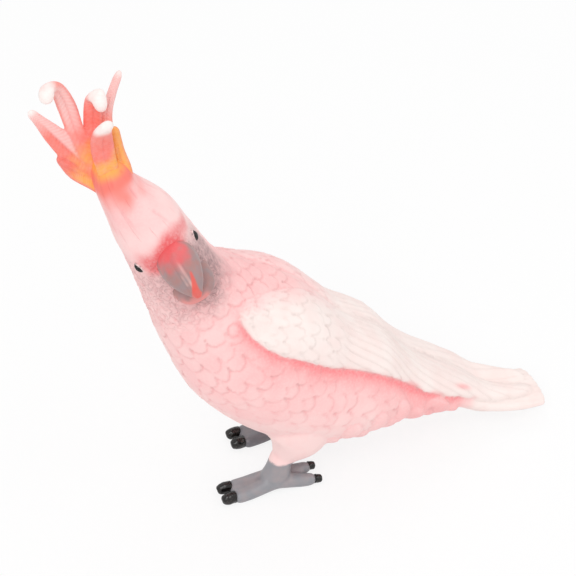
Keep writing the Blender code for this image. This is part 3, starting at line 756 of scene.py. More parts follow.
def ivory(at, degrees, wobble):
    """Where the off-white paint of the back and wings lies: 1 behind the mantle, 0 ahead of it."""
    edge = np.interp(degrees, *zip(*IVORY_EDGE))
    soft = np.interp(degrees, *zip(*IVORY_SOFTNESS))
    return 1 - ramp(at + 0.15 * wobble, edge - soft, edge + soft)


def scaled_body(at):
    """The part of the trunk that has scales, from behind the throat to the tail."""
    return ramp(at, 2.7, 3.3) * (1 - ramp(at, 8.4, 9.3))


def smooth_belly(at, off):
    """The belly between the legs, where the scales are nearly lost."""
    return ramp(off, 125, 160) * ramp(at, 4.6, 5.4) * (1 - ramp(at, 6.2, 7.0))


def trunk_relief(points, at, degrees, sizes):
    """How far the trunk's skin rises, where its creases lie and where the throat's curls do."""
    off = np.abs(degrees)
    scales = body_scales(points, at, degrees)
    under = ramp(off, 60, 100)
    faint = ramp(off, 80, 115) * (1 - ramp(at, 6.6, 7.4))
    mantle = ramp(at, 6.8, 7.4)
    strength = scaled_body(at) * (1 - 0.6 * smooth_belly(at, off))
    strength = strength * (0.55 + 0.45 * np.maximum(under, mantle)) * (1 - 0.72 * faint)
    up = sizes.feather_rise * strength * (scales - 0.4)
    curls = waver(points, 0.0019, 3) + 0.6 * waver(points, 0.0011, 4)
    neck = ramp(at, 8.3, 9.0) * (1 - ramp(at, 10.1, 10.7)) * (0.35 + 0.65 * ramp(off, 15, 60))
    for eye in EYES:
        neck = neck * ramp(np.linalg.norm(points - skin_point(*eye), axis=1), *EYE_CLEARANCE)
    up += 0.6 * sizes.feather_rise * neck * curls
    tail = 1 - ramp(at, 2.0, 3.0)
    vane = np.abs(np.mod(points[:, 1] / (TAIL_WIDTH / 6) + 0.5, 1) * 2 - 1)
    up += 0.4 * sizes.feather_rise * tail * (0.3 - vane**3)
    strokes = np.maximum(0, np.cos(np.radians(degrees * 7 + 30 * np.sin(at * 1.7)))) ** 24
    strokes *= ramp(at, 10.8, 11.3) * ramp(waver(points, 0.006, 7), -0.15, 0.25)
    up -= STROKE_DEPTH * strokes
    # Painted shade: these creases, at the scales' free edges, in the tail's grooves, along the head's strokes
    # and round the loose curl, are painted darker.
    crease = 0.9 * strength * (1 - 0.4 * faint) * (1 - ramp(scales, 0.0, 0.16))
    crease = crease + 0.5 * tail * ramp(vane, 0.80, 1.0) + 0.35 * strokes
    from_curl = np.linalg.norm(points - skin_point(*LOOSE_CURL), axis=1)
    ring = np.exp(-((np.abs(from_curl - LOOSE_CURL_RADIUS) / LOOSE_CURL_GROOVE) ** 2))
    up = np.where(from_curl < LOOSE_CURL_RADIUS, LOOSE_CURL_RISE, up) - LOOSE_CURL_DEPTH * ring
    return up, np.maximum(crease, ring), neck


def face_paint(points, wobble):
    """Where the grey wash lies around the beak, and where the red is brushed over the cere."""
    from_cere = points - skin_point(*CERE)
    side, rise = from_cere @ HEAD_SIDE, from_cere @ HEAD_UP
    front = ramp(-points[:, 1], 0.0005, 0.005)
    reach = np.where(side > 0, 0.0175, 0.0125)
    round_beak = np.sqrt((side / reach) ** 2 + ((rise + 0.0105) / 0.0135) ** 2) + 0.15 * wobble
    grey = (1 - ramp(round_beak, 0.40, 1.25)) * ramp(-rise, 0.001, 0.008) * front
    grey *= 0.50 + 0.50 * ramp(side, -0.006, 0.004)
    brushed = np.hypot((side + 0.0012) / 0.0084, (rise + 0.0014 - 0.15 * side) / 0.0046) + 0.25 * wobble
    return grey, (1 - ramp(brushed, 0.50, 1.15)) * front


def trunk_skin(points, along, around, sizes):
    """Carves the trunk, neck and tail. Returns how far the skin rises and the marks for its paint."""
    at = along * CROWN
    degrees = np.degrees(np.arctan2(np.sin(around), np.cos(around)))
    off = np.abs(degrees)
    up, crease, neck = trunk_relief(points, at, degrees, sizes)
    wobble = waver(points, 0.004, 8)
    grey, red = face_paint(points, wobble)
    gap = (off - wing_edge(at)) * (math.pi / 180) * FLANK_RADIUS
    below = ramp(gap, -0.0004, 0.0003)
    flank = ramp(at, 2.5, 3.1) * (1 - ramp(at, 7.9, 8.35))
    rose = 1.2 * below * flank * np.exp(-np.maximum(gap, 0) / (0.0019 + 0.0006 * wobble))
    rose += 0.40 * below * flank * np.exp(-np.maximum(gap, 0) / (0.0065 + 0.0020 * wobble))
    rose += 0.35 * below * ramp(at, 2.6, 3.2) * (1 - ramp(at, 3.6, 5.2)) * (1 - ramp(off, 105, 130))
    # Painted shade: a little rose darkens the mantle on top of the back, where the light from above falls
    # strongest.
    rose += 0.16 * (1 - ramp(off, 40, 75)) * ramp(at, 6.4, 7.2) * (1 - ramp(at, 9.0, 10.0))
    rose += 0.28 * ramp(at + 0.3 * wobble, 11.0, 12.0)
    between = 1 - ramp(off - wing_edge(at), -3, 0)
    white = np.maximum(ivory(at, degrees, wobble) * between, 1 - ramp(at + 0.25 * wobble, 2.35, 2.95))
    pale = 0.40 * ramp(at, 10.4, 11.2) * (1 - 0.5 * ramp(at, 11.5, 12.4))
    pale = pale + 0.8 * smooth_belly(at, off) + 0.5 * ramp(off, 150, 175) * scaled_body(at)
    pale = np.maximum(pale, 0.55 * (1 - ramp(off, 20, 70)) * ramp(at, 9.2, 9.8))
    return up, {
        "crease": crease,
        "white": white,
        "rose": rose,
        "grey": grey,
        "red": red,
        "pale": pale,
        "curl": neck,
        "coral": ramp(at + 0.45 * wobble, 11.75, 12.85),
        "gold": ramp(at + 0.25 * wobble, 13.0, 13.7),
    }


def wing_skin(points, along, around, sizes):
    """Carves a wing's scales and flight feathers. Returns the rise and the marks for its paint."""

    def count(k):
        return 9 - np.floor(0.35 * np.clip(k, 0, 8))

    at, low, high, _ = through(WING_ROWS, along * (len(WING_ROWS) - 1)).T
    size = np.maximum(rounded(along, *WING_ENDS), 0.05)
    degrees = (low + high) / 2 + (low - high) / 2 * size * np.cos(around)
    front = through(SPINE, [8.15])[0, :3]
    line = unit(through(SPINE, [0.45])[0, :3] - front)
    reach = (points - front) @ line
    across = (np.cos(around) * size + 1) / 2
    wave = waver(points, 0.010, 5)
    row = reach / COVERT_LENGTH + 0.3 * wave + 0.5 * np.sin(across * 3.2)
    turn = across * 0.8 + 0.02 * waver(points, 0.007, 6)
    scales = shingles(row, turn, count, 0.75)
    flight = ramp(reach + 0.008 * across, 0.040, 0.045)
    _, _, half_y, half_n = spine(at)
    from_back = np.radians(degrees) * (half_y + half_n) / 2
    lines = (from_back - FEATHER_FAN * reach) / FLIGHT_FEATHER_WIDTH + 0.06 * wave
    vane = np.mod(lines, 1)
    feathers = np.where(vane < 0.84, vane / 0.84, (1 - vane) / 0.16)
    top = ramp(np.sin(around), -0.2, 0.0) * ramp(along, 0.0, 0.05)
    covert_rise = sizes.covert_rise * (1 - flight) * (scales - 0.4)
    flight_rise = sizes.flight_rise * flight * (feathers - 0.6)
    # Painted shade: the seams between the wing's scales and between its flight feathers are painted darker.
    seams = 0.7 * (1 - flight) * (1 - ramp(scales, 0.0, 0.16))
    seams += 0.45 * flight * (1 - ramp(feathers, 0.0, 0.22))
    wobble = waver(points, 0.004, 8)
    spot = np.exp(-(((at - 2.98) / 0.16) ** 2 + ((np.abs(degrees) - 52) / 4.0) ** 2))
    tips = ramp(across, 0.90, 1.0) * ramp(wobble, -0.1, 0.4)
    tips = tips * (1 - ramp(at, 4.5, 5.5)) * ramp(at, 2.2, 2.9)
    return top * (covert_rise + flight_rise), {
        "crease": top * seams,
        "white": ivory(at, degrees * np.sign(points[:, 1]), wobble),
        "flight": top * flight,
        "lines": lines,
        "reach": reach,
        "rose": 0.75 * spot + 0.5 * tips,
    }


def pairs(mesh):
    """The two ends of each edge of a mesh, and how many edges meet at each point."""
    ends = np.empty(len(mesh.edges) * 2, dtype=np.int64)
    mesh.edges.foreach_get("vertices", ends)
    a, b = ends.reshape(-1, 2).T
    return a, b, np.maximum(np.bincount(ends, minlength=len(mesh.vertices)), 1)


def averaged(values, a, b, number):
    """The mean of each point's neighbours."""
    return (np.bincount(a, values[b], len(number)) + np.bincount(b, values[a], len(number))) / number


def softened(values, links):
    """The values of a mesh's points, run a little into each other. links is what pairs gives."""
    for _ in range(2):
        values = 0.5 * values + 0.5 * averaged(values, *links)
    return values


def recesses(mesh):
    """How deep each point lies in a crease of the skin, from 0 to 1."""
    co, normals = points_of(mesh), normals_of(mesh)
    a, b, number = pairs(mesh)
    span = co[b] - co[a]
    bend = np.bincount(a, (span * normals[a]).sum(1), len(co))
    bend -= np.bincount(b, (span * normals[b]).sum(1), len(co))
    reach = np.linalg.norm(span, axis=1).mean()
    value = np.clip(bend / number / reach * 5.0, 0, 1)
    return 0.5 * value + 0.5 * averaged(value, a, b, number)


def filled(mesh, rounds):
    """Fills the narrow valleys of a mesh and leaves its hills as they are."""
    a, b, number = pairs(mesh)
    for _ in range(rounds):
        co, normals = points_of(mesh), normals_of(mesh)
        middle = np.stack([averaged(co[:, axis], a, b, number) for axis in range(3)], 1)
        rise = np.maximum(((middle - co) * normals).sum(1), 0)
        moved(mesh, co + normals * (0.9 * rise)[:, None])


def points_of(mesh):
    """The points of a mesh as rows."""
    co = np.empty(len(mesh.vertices) * 3)
    mesh.vertices.foreach_get("co", co)
    return co.reshape(-1, 3)


def normals_of(mesh):
    """The normals of a mesh's points as rows."""
    normals = np.empty(len(mesh.vertices) * 3)
    mesh.vertex_normals.foreach_get("vector", normals)
    return normals.reshape(-1, 3)


def mark(mesh, name, values):
    """Keeps one value for each point of the mesh, for its paint to read."""
    layer = mesh.attributes.new(name, "FLOAT", "POINT")
    layer.data.foreach_set("value", np.asarray(values, dtype=np.float32))


def moved(mesh, points):
    """Puts the mesh's points at these places, and none of them below the floor."""
    points[:, 2] = np.maximum(points[:, 2], 0.0)
    mesh.vertices.foreach_set("co", points.ravel())
    mesh.update()


def finished(mesh, name, material):
    """Puts a mesh in the frame's place as a named, smooth-shaded piece of the figurine."""
    co = (points_of(mesh) + OFFSET) * WITHIN
    mesh.vertices.foreach_set("co", co.ravel())
    mesh.update()
    mesh.name = name
    mesh.shade_smooth()
    mesh.materials.clear()
    mesh.materials.append(material)
    piece = bpy.data.objects.new(name, mesh)
    bpy.context.scene.collection.objects.link(piece)
    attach(piece, "root")
    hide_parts("bird_figurine")
    return piece


def put(tree, socket, value):
    """Links a value that is a socket to an input, and sets any other as the input's value."""
    if isinstance(value, bpy.types.NodeSocket):
        tree.links.new(value, socket)
    else:
        socket.default_value = (*value, 1) if isinstance(value, Color) else value


def add(tree, kind, *values, out=None, **settings):
    """Adds one node with its settings. Returns the output named out, or else the first in use.

    The values go in order to the inputs that the settings leave in use.
    """
    node = tree.nodes.new(kind)
    for name, value in settings.items():
        setattr(node, name, value)
    for socket, value in zip([socket for socket in node.inputs if socket.enabled], values):
        put(tree, socket, value)
    return node.outputs[out] if out else next(socket for socket in node.outputs if socket.enabled)


def patches(tree, millimetres, low=0.0, high=1.0, detail=2.0, distortion=0.0):
    """Noise with patches of this size on the object: 0 where it is below low and 1 above high."""
    where = add(tree, "ShaderNodeTexCoord", out="Object")
    made = add(tree, NOISE, where, 1000 / millimetres, detail, 0.5, 2.0, distortion)
    return add(tree, RANGE, made, low, high)


def from_middle(tree, value):
    """How far a value from 0 to 1 lies from 0.5."""
    return add(tree, MATH, add(tree, MATH, value, 0.5, operation="SUBTRACT"), operation="ABSOLUTE")


def ripples(tree, value):
    """Waves from 0 to 1, one for each whole step of the value."""
    turns = add(tree, MATH, value, FULL_TURN, operation="MULTIPLY")
    return add(tree, RANGE, add(tree, MATH, turns, operation="SINE"), -1, 1)


def seen(tree):
    """1 for what the camera sees straight, in a reflection or through something clear."""
    path = tree.nodes.new("ShaderNodeLightPath").outputs
    rays = path["Is Camera Ray"]
    for name in ("Is Glossy Ray", "Is Transmission Ray"):
        rays = add(tree, MATH, rays, path[name], operation="MAXIMUM")
    return rays


def painted(tree, base, coats):
    """The base colour under these coats, each with where it lies, its strength and its colour."""
    for where, strength, tone in coats:
        share = add(tree, MATH, where, strength, operation="MULTIPLY", use_clamp=True)
        base = add(tree, MIX, share, base, tone, data_type="RGBA")
    return base


def marks_of(tree, names):
    """The values that the mesh keeps for each of its points, by their names."""
    return {name: add(tree, "ShaderNodeAttribute", out="Fac", attribute_name=name) for name in names}


def new_material(name):
    """An empty node material and its tree."""
    material = bpy.data.materials.new(name)
    material.use_nodes = True
    return material, material.node_tree


def surfaced(material, tone, roughness, ior, relief=None):
    """Gives a material its colour, dullness, IOR and a relief whose height is in millimetres."""
    tree = material.node_tree
    shader = tree.nodes["Principled BSDF"]
    for name, value in (("Base Color", tone), ("Roughness", roughness), ("IOR", ior)):
        put(tree, shader.inputs[name], value)
    if relief is not None:
        normal = add(tree, "ShaderNodeBump")
        for name, value in (("Strength", 1.0), ("Distance", 0.001), ("Height", relief)):
            put(tree, normal.node.inputs[name], value)
        put(tree, shader.inputs["Normal"], normal)
    return material


def plumage_material(paint):
    """Soft PVC, moulded in one piece and sprayed: a dull skin whose creases and grooves are darkened with
    painted shade.
    """
    material, tree = new_material("sprayed_pvc_plumage")
    marks = marks_of(tree, SKIN_MARKS)
    clouds = patches(tree, 7.0, 0.36, 0.66)
    specks = patches(tree, 0.7, 0.42, 0.72, 3.0)
    curls = add(tree, RANGE, from_middle(tree, patches(tree, 1.8, distortion=0.8)), 0.0, 0.055, 1.0, 0.0)
    curls = add(tree, MATH, curls, marks["curl"], operation="MULTIPLY")
    waves = add(tree, MATH, patches(tree, 9.0), 0.5, operation="MULTIPLY")
    turns = add(tree, MATH, marks["turn"], HEAD_STROKES, waves, operation="MULTIPLY_ADD")
    strokes = from_middle(tree, add(tree, MATH, turns, operation="FRACT"))
    strokes = add(tree, RANGE, strokes, 0.0, 0.045, 1.0, 0.0)
    for share in (patches(tree, 4.5, 0.46, 0.56), marks["stroke"], 0.6):
        strokes = add(tree, MATH, strokes, share, operation="MULTIPLY")
    vane = add(tree, MATH, marks["lines"], operation="FRACT")
    seams = add(tree, RANGE, from_middle(tree, vane), 0.44, 0.5, 0.0, 0.45)
    seams = add(tree, MATH, seams, marks["flight"], operation="MULTIPLY")
    barbs = add(tree, MATH, marks["reach"], BARBS_PER_METRE, vane, operation="MULTIPLY_ADD")
    barbs = add(tree, MATH, ripples(tree, barbs), marks["flight"], operation="MULTIPLY")
    # Painted shade: the creases, the head's strokes and the flight feathers' seams, all darkened by the coats
    # below.
    fold_shade = marks["crease"]
    for share in (strokes, seams):
        fold_shade = add(tree, MATH, fold_shade, share, operation="MAXIMUM")
    blush = add(tree, RANGE, clouds, 0, 1, 0.55, 1.0)
    blush = add(tree, MATH, blush, marks["pale"], operation="SUBTRACT", use_clamp=True)
    red_end = painted(
        tree,
        paint.coral,
        (
            (marks["gold"], 1.0, paint.orange),
            # Painted shade in the creases of the crown's red.
            (fold_shade, 0.6, paint.coral_shade),
        ),
    )
    pink = painted(
        tree,
        paint.pink_pale,
        (
            (blush, 1.0, paint.pink),
            (marks["rose"], 1.0, paint.rose),
            # Painted shade: deeper pink in the creases and in the grooves of the curls.
            (fold_shade, 0.75, paint.pink_shade),
            (curls, 0.20, paint.pink_shade),
            (specks, 0.25, paint.pink_pale),
            (marks["coral"], 1.0, red_end),
        ),
    )
    ivory_paint = painted(
        tree,
        paint.wing,
        (
            (clouds, 1.0, paint.wing_shade),
            # Painted shade: darker off-white in the creases and seams.
            (fold_shade, 0.60, paint.wing_crease_shade),
            (marks["rose"], 0.9, paint.rose),
        ),
    )
    scuffed_and_shaded_feet = painted(
        tree,
        paint.foot,
        (
            (patches(tree, 3.0, 0.40, 0.70, 4.0), 1.0, paint.foot_scuff),
            # Painted shade: darker grey in the feet's creases and over the far foot.
            (marks["crease"], 0.7, paint.foot_shade),
        ),
    )
    soot = add(tree, RANGE, patches(tree, 1.3, 0.32, 0.68, 4.0), 0, 1, 0.50, 1.0)
    # Painted shade: the grooves of the throat's curls, darkened where the grey wash lies.
    grey_curl_shade = curls
    for share in (marks["grey"], marks["grey"]):
        grey_curl_shade = add(tree, MATH, grey_curl_shade, share, operation="MULTIPLY")
    thin_red = add(tree, RANGE, specks, 0, 1, 0.95, 0.7)
    skin = painted(
        tree,
        pink,
        (
            (marks["white"], 1.0, ivory_paint),
            (marks["grey"], soot, paint.throat),
            (grey_curl_shade, 0.6, paint.grey_shade),
            (marks["red"], thin_red, paint.cere),
            (marks["foot"], 1.0, scuffed_and_shaded_feet),
        ),
    )
    height = add(tree, MATH, patches(tree, 0.6, detail=3.0), 0.05, operation="MULTIPLY")
    for share, depth in ((curls, -0.11), (strokes, -0.12), (seams, -0.15), (barbs, 0.02)):
        height = add(tree, MATH, share, depth, height, operation="MULTIPLY_ADD")
    dullness = add(tree, RANGE, marks["foot"], 0, 1, 0.52, 0.38)
    return surfaced(material, skin, dullness, PVC_IOR, height)


def crest_material(paint):
    """The same PVC brushed yellow at the roots, coral on the blades and white at the tips."""
    material, tree = new_material("brushed_pvc_crest")
    marks = marks_of(tree, ("pale", "gold", "tip", "crease", "barbed", "barbs"))
    plain = add(tree, RANGE, marks["tip"], 0, 0.6, 1.0, 0.0)
    barbs = ripples(tree, marks["barbs"])
    for share in (marks["barbed"], plain):
        barbs = add(tree, MATH, barbs, share, operation="MULTIPLY")
    blade = painted(
        tree,
        paint.coral,
        (
            (marks["pale"], 1.0, paint.crest_pink),
            (marks["gold"], 1.0, paint.orange),
            # Painted shade: deeper coral in the crest's grooves, creases and seams.
            (marks["crease"], 0.65, paint.coral_shade),
            (marks["tip"], 1.0, paint.crest_tip),
            (patches(tree, 1.2, 0.35, 0.70, 3.0), 0.20, paint.crest_pink),
            (barbs, 0.15, paint.coral),
        ),
    )
    height = add(tree, MATH, patches(tree, 0.6, detail=3.0), 0.05, operation="MULTIPLY")
    height = add(tree, MATH, barbs, 0.05, height, operation="MULTIPLY_ADD")
    return surfaced(material, blade, 0.45, PVC_IOR, height)


def beak_material(paint):
    """The beak, brushed with a glossy pinkish grey enamel and a red tip over the PVC."""
    material, tree = new_material("brushed_enamel_beak")
    marks = marks_of(tree, ("crease", "lip", "ridge", "red", "tip"))
    streaks = patches(tree, 2.4, 0.35, 0.65, 4.0)
    horn = painted(
        tree,
        paint.beak,
        (
            (streaks, 1.0, paint.soot),
            # Painted shade: darker grey in the beak's creases.
            (marks["crease"], 0.8, paint.grey_shade),
            (marks["lip"], 1.0, paint.beak_lip),
            # Painted highlight: pale strokes along the beak's ridge.
            (marks["ridge"], 0.60, paint.beak_highlight),
            (marks["red"], 1.0, paint.cere),
            (marks["tip"], add(tree, RANGE, streaks, 0, 1, 1.0, 0.8), paint.beak_tip),
        ),
    )
    height = add(tree, MATH, patches(tree, 0.8, detail=3.0), 0.06, operation="MULTIPLY")
    return surfaced(material, horn, 0.38, 1.42, height)


def lid_material(paint):
    """The rims of the eyelids, left in the pale pink of the PVC with a little grey wash in them."""
    material, tree = new_material("washed_pvc_eyelids")
    tone = painted(tree, paint.pink_pale, ((patches(tree, 0.8, 0.30, 0.70), 1.0, paint.soot),))
    return surfaced(material, tone, 0.5, PVC_IOR)


def black_material(paint):
    """Eyes and claws, brushed with a thick glossy black enamel that keeps the marks of the brush."""
    material, tree = new_material("glossy_black_enamel")
    tone = painted(tree, paint.black, ((patches(tree, 1.2, 0.50, 0.80), 1.0, paint.black_scuff),))
    height = add(tree, MATH, patches(tree, 1.1), 0.18, operation="MULTIPLY")
    return surfaced(material, tone, 0.10, 1.45, height)


def floor_material(paint):
    """Matte paper under the bird. What the camera sees of it is mostly a white glow, so it stays pale."""
    material, tree = new_material("matte_paper_floor")
    surfaced(material, paint.floor, 0.9, PVC_IOR)
    shader = tree.nodes["Principled BSDF"]
    shader.inputs["Specular IOR Level"].default_value = 0.0
    part = add(tree, MATH, seen(tree), 0.82, operation="MULTIPLY", use_clamp=True)
    white = add(tree, "ShaderNodeEmission", (1, 1, 1, 1), 1.0)
    mixed = add(tree, "ShaderNodeMixShader", part, shader.outputs[0], white)
    tree.links.new(mixed, tree.nodes["Material Output"].inputs["Surface"])
    return material


def studio_world():
    """A soft white studio round the bird, brighter to the camera than it lights the bird."""
    world = bpy.data.worlds.new("soft_white_studio")
    world.use_nodes = True
    tree = world.node_tree
    background = tree.nodes["Background"]
    background.inputs["Color"].default_value = (1, 1, 1, 1)
    put(tree, background.inputs["Strength"], add(tree, RANGE, seen(tree), 0, 1, 0.62, 1.0))
    return world


def turned(data, place, forward):
    """A lamp or camera at this place, looking this way."""
    made = bpy.data.objects.new(data.name, data)
    made.location = place
    made.rotation_mode = "QUATERNION"
    made.rotation_quaternion = forward.to_track_quat("-Z", "Y")
    bpy.context.scene.collection.objects.link(made)
    return made


def add_lamp(name, place, power, side):
    """One square soft lamp."""
    lamp = bpy.data.lights.new(name, "AREA")
    lamp.energy = power
    lamp.size = side
    turned(lamp, place, LAMPS_AIM - Vector(place))


def photograph_camera():
    """The camera at the photograph's angle."""
    azimuth, elevation = math.radians(VIEW_AZIMUTH), math.radians(VIEW_ELEVATION)
    x, y, z = VIEW_TARGET
    target = Vector((x + OFFSET[0], y, z))
    out = math.cos(elevation)
    back = Vector((math.sin(azimuth) * out, -math.cos(azimuth) * out, math.sin(elevation)))
    lens = bpy.data.cameras.new("camera")
    lens.sensor_width = SENSOR_MM
    lens.lens = LENS_MM
    return turned(lens, target + back * VIEW_DISTANCE, -back)


def colour(name, code, description):
    """A colour property with an sRGB hex default."""
    return FloatVectorProperty(
        name=name, description=description, subtype="COLOR", size=3, min=0, max=1, default=linear(code)
    )


def metres(name, default, least, description):
    """A length property."""
    return FloatProperty(
        name=name, description=description, default=default, min=least, unit="LENGTH", precision=5
    )


class CockatooSizes(bpy.types.PropertyGroup):
    """Sizes of the carving and of the small pieces."""

    skin_grain: metres("Skin fineness", 0.00052, 0.0004, "Edge length of the plumage's mesh")
    crest_grain: metres("Crest fineness", 0.00025, 0.0002, "Edge length of the crest's mesh")
    feather_rise: metres("Feather rise", 0.00055, 0, "Height of a body feather's free edge")
    covert_rise: metres("Covert rise", 0.00045, 0, "Height of a wing scale's free edge")
    flight_rise: metres("Flight feather rise", 0.0003, 0, "Step between two flight feathers")
    claw_width: metres("Claw width", 0.0031, 0.001, "Width of a front claw")
    eye_width: metres("Eye width", 0.0030, 0.001, "Length of an eye from corner to corner")
    eye_height: metres("Eye height", 0.0016, 0.0005, "Height of an eye between its lids")


class CockatooPaint(bpy.types.PropertyGroup):
    """Colours of the paint."""

    pink: colour("Pink", "ffcac9", "Sprayed pink of the breast and flanks")
    pink_pale: colour("Pale pink", "ffdedb", "Thin pink on the forehead, belly and thighs")
    # Painted shade: deeper pink for the creases and grooves of the skin.
    pink_shade: colour("Pink creases", "f5a2a4", "Pink painted as shade in the creases")
    rose: colour("Rose", "fc8d90", "Deep pink line under the wings")
    wing: colour("Wing", "fceee9", "Off-white of the wings and tail")
    wing_shade: colour("Wing shade", "fae6e1", "Warmer patches of the off-white")
    # Painted shade: darker off-white in the creases and seams of the wings and tail.
    wing_crease_shade: colour("Wing creases", "efdcd6", "Off-white creases between the wing feathers")
    coral: colour("Coral", "fb7f72", "Red brushed on the crest")
    # Painted shade: deeper coral in the creases, grooves and seams of the crest and crown.
    coral_shade: colour("Deep coral", "ee5c58", "Red in the creases of the crest")
    orange: colour("Orange", "fdb250", "Yellow-orange at the roots of the crest")
    crest_pink: colour("Crest pink", "fccac6", "Thin pink on the upper side of the crest's blades")
    crest_tip: colour("Crest tips", "fdf2ee", "White tips of the crest")
    cere: colour("Cere", "e96467", "Red brushed over the top of the beak")
    beak: colour("Beak", "ae827e", "Pinkish grey of the beak")
    soot: colour("Grey wash", "a18a8b", "Grey wash on the beak and throat")
    throat: colour("Throat wash", "ab8889", "Grey wash over the pink of the throat and cheeks")
    # Painted shade: darker grey in the beak's creases and in the grooves of the throat's curls.
    grey_shade: colour("Grey creases", "7d686a", "Grey painted as shade in the creases and curls")
    # Painted highlight: pale strokes along the ridge of the glossy beak.
    beak_highlight: colour("Beak ridge", "f1c4bc", "Painted highlight on the beak's ridge")
    beak_lip: colour("Beak lip", "e5918d", "Pink rim of the lower beak")
    beak_tip: colour("Beak tip", "e96157", "Orange-red tip of the beak")
    foot: colour("Feet", "94959a", "Grey of the feet")
    foot_scuff: colour("Foot scuffs", "a39a9c", "Warmer grey where the feet are rubbed")
    # Painted shade: darker grey between the toes and over the far foot, as if in the body's shadow.
    foot_shade: colour("Foot creases", "5c5a60", "Darker grey between the toes")
    black: colour("Black", "161313", "Black of the eyes and claws")
    black_scuff: colour("Black scuffs", "3a3634", "Worn black")
    floor: colour("Floor", "f8f8f8", "Pale floor and backdrop")


def deepened(skin, points, label, marks):
    """Marks the creases of the carved skin for painted shade, and the grey feet. The far foot gets painted
    shade, darker as if under the body's shadow.
    """
    low = (1 - ramp(points[:, 2], 0.020, 0.034)) * ramp(points[:, 2], 0.009, 0.012) * (label > 0)
    # Painted shade: the deeper a point lies in a crease, the darker its paint.
    deep = recesses(skin) * (1 - 0.5 * marks["flight"] - 0.6 * low)
    ankle = ANKLE_HEIGHT + 0.0005 + 0.0004 * waver(points, 0.002, 9)
    ahead_of_tail = points[:, 0] < 0.5 * TAIL_REACH
    marks["foot"] = ahead_of_tail * (1 - ramp(points[:, 2], ankle - 0.0002, ankle + 0.0002))
    marks["crease"] = np.maximum(0.8 * marks["crease"], deep)
    # Painted shade: the far foot, at +Y, is painted darker as if it lay in the body's shadow.
    marks["crease"] = np.maximum(marks["crease"], 0.90 * marks["foot"] * (points[:, 1] > 0))


def crest_marks(points, label, along, across, names):
    """How pale, how golden and how white each point of the crest is, by the feather it is on."""
    soft = along + 0.05 * waver(points, 0.003, 11)
    upper = ramp(across, -0.1, 0.15)
    rim = ramp(np.abs(across), 0.55, 0.95)
    height = (points - np.array(SPINE[CREST_ROOT][:3])) @ HEAD_UP / CREST_HEIGHT
    height = height + 0.06 * waver(points, 0.003, 12)
    root = ramp(height, 0.20, 0.34)
    none = np.zeros(len(points))
    pale = 0.8 * ramp(soft, 0.45, 0.95)
    gold = root * (1 - ramp(height, 0.40, 0.56))
    tip = ramp(soft, 0.86, 0.97)
    middle = ramp(soft, 0.05, 0.25) * (1 - ramp(soft, 0.35, 0.70)) * (1 - rim)
    both_sides = ramp(soft, 0.15, 0.30) * upper + ramp(soft, 0.6, 0.9) * (1 - upper)
    own = {
        "long": (both_sides, 0.5 * gold, tip),
        "low": (none, middle, none),
        "curl": (ramp(soft, 0.22, 0.50) * (1 - 0.7 * rim), 0.8 * gold, ramp(soft, 0.74, 0.88)),
        "short": (0.5 * ramp(soft, 0.45, 0.70), 0.3 * gold, ramp(soft + 0.08 * across, 0.52, 0.68)),
        "thin": (ramp(soft, 0.35, 0.65), 0.2 * gold, 0.6 * tip),
        "front": (0.4 * pale, root * (1 - ramp(height, 0.34, 0.46)), ramp(soft, 0.72, 0.86)),
        "side": (none, ramp(soft, 0.15, 0.40) * (1 - 0.5 * rim), none),
    }
    marks = {key: np.zeros(len(points)) for key in ("pale", "gold", "tip")}
    for index, name in enumerate(names):
        mine = label == index
        for whole, part in zip(marks.values(), own[name]):
            whole[mine] = part[mine]
    return marks


def beak_marks(points, upper):
    """Where the beak's painted highlight along its ridge, its pink lip, its red top and its orange tip lie.
    """
    from_cere = points - skin_point(*CERE)
    side, down = from_cere @ HEAD_SIDE, -(from_cere @ HEAD_UP)
    wobble = waver(points, 0.002, 13)
    middle = 0.0018 * (1 - ramp(down, 0.0030, 0.0100))
    half = 0.0013 * np.clip((down - 0.0034) / 0.0075, 0, 1)
    wedge = (1 - ramp(np.abs(side - middle), half, half + 0.0004)) * ramp(down, 0.0034, 0.0042)
    # Painted highlight: two thin pale strokes along the ridge, where the glossy beak catches the light.
    ridge = (1 - ramp(np.abs(side - 0.0004), 0.0001, 0.0005)) * ramp(down, 0.0005, 0.0020)
    beside = (1 - ramp(np.abs(side + 0.0006), 0.0001, 0.0004)) * ramp(down, 0.0030, 0.0040)
    beside *= 1 - ramp(down, 0.0055, 0.0064)
    lip = (1 - upper) * ramp(down + 0.001 * wobble, 0.0120, 0.0146)
    return {
        "ridge": upper * (np.maximum(ridge, 0.8 * beside) * (0.8 + 0.5 * wobble)),
        "lip": lip * (1 - ramp(side, 0.0015, 0.0035)),
        "red": (1 - ramp(down + 0.0014 * wobble, 0.0000, 0.0036)) * upper,
        "tip": wedge * upper,
    }


# How each form of the plumage that has feathers is carved.
CARVED = {"trunk": trunk_skin, "left wing": wing_skin, "right wing": wing_skin}


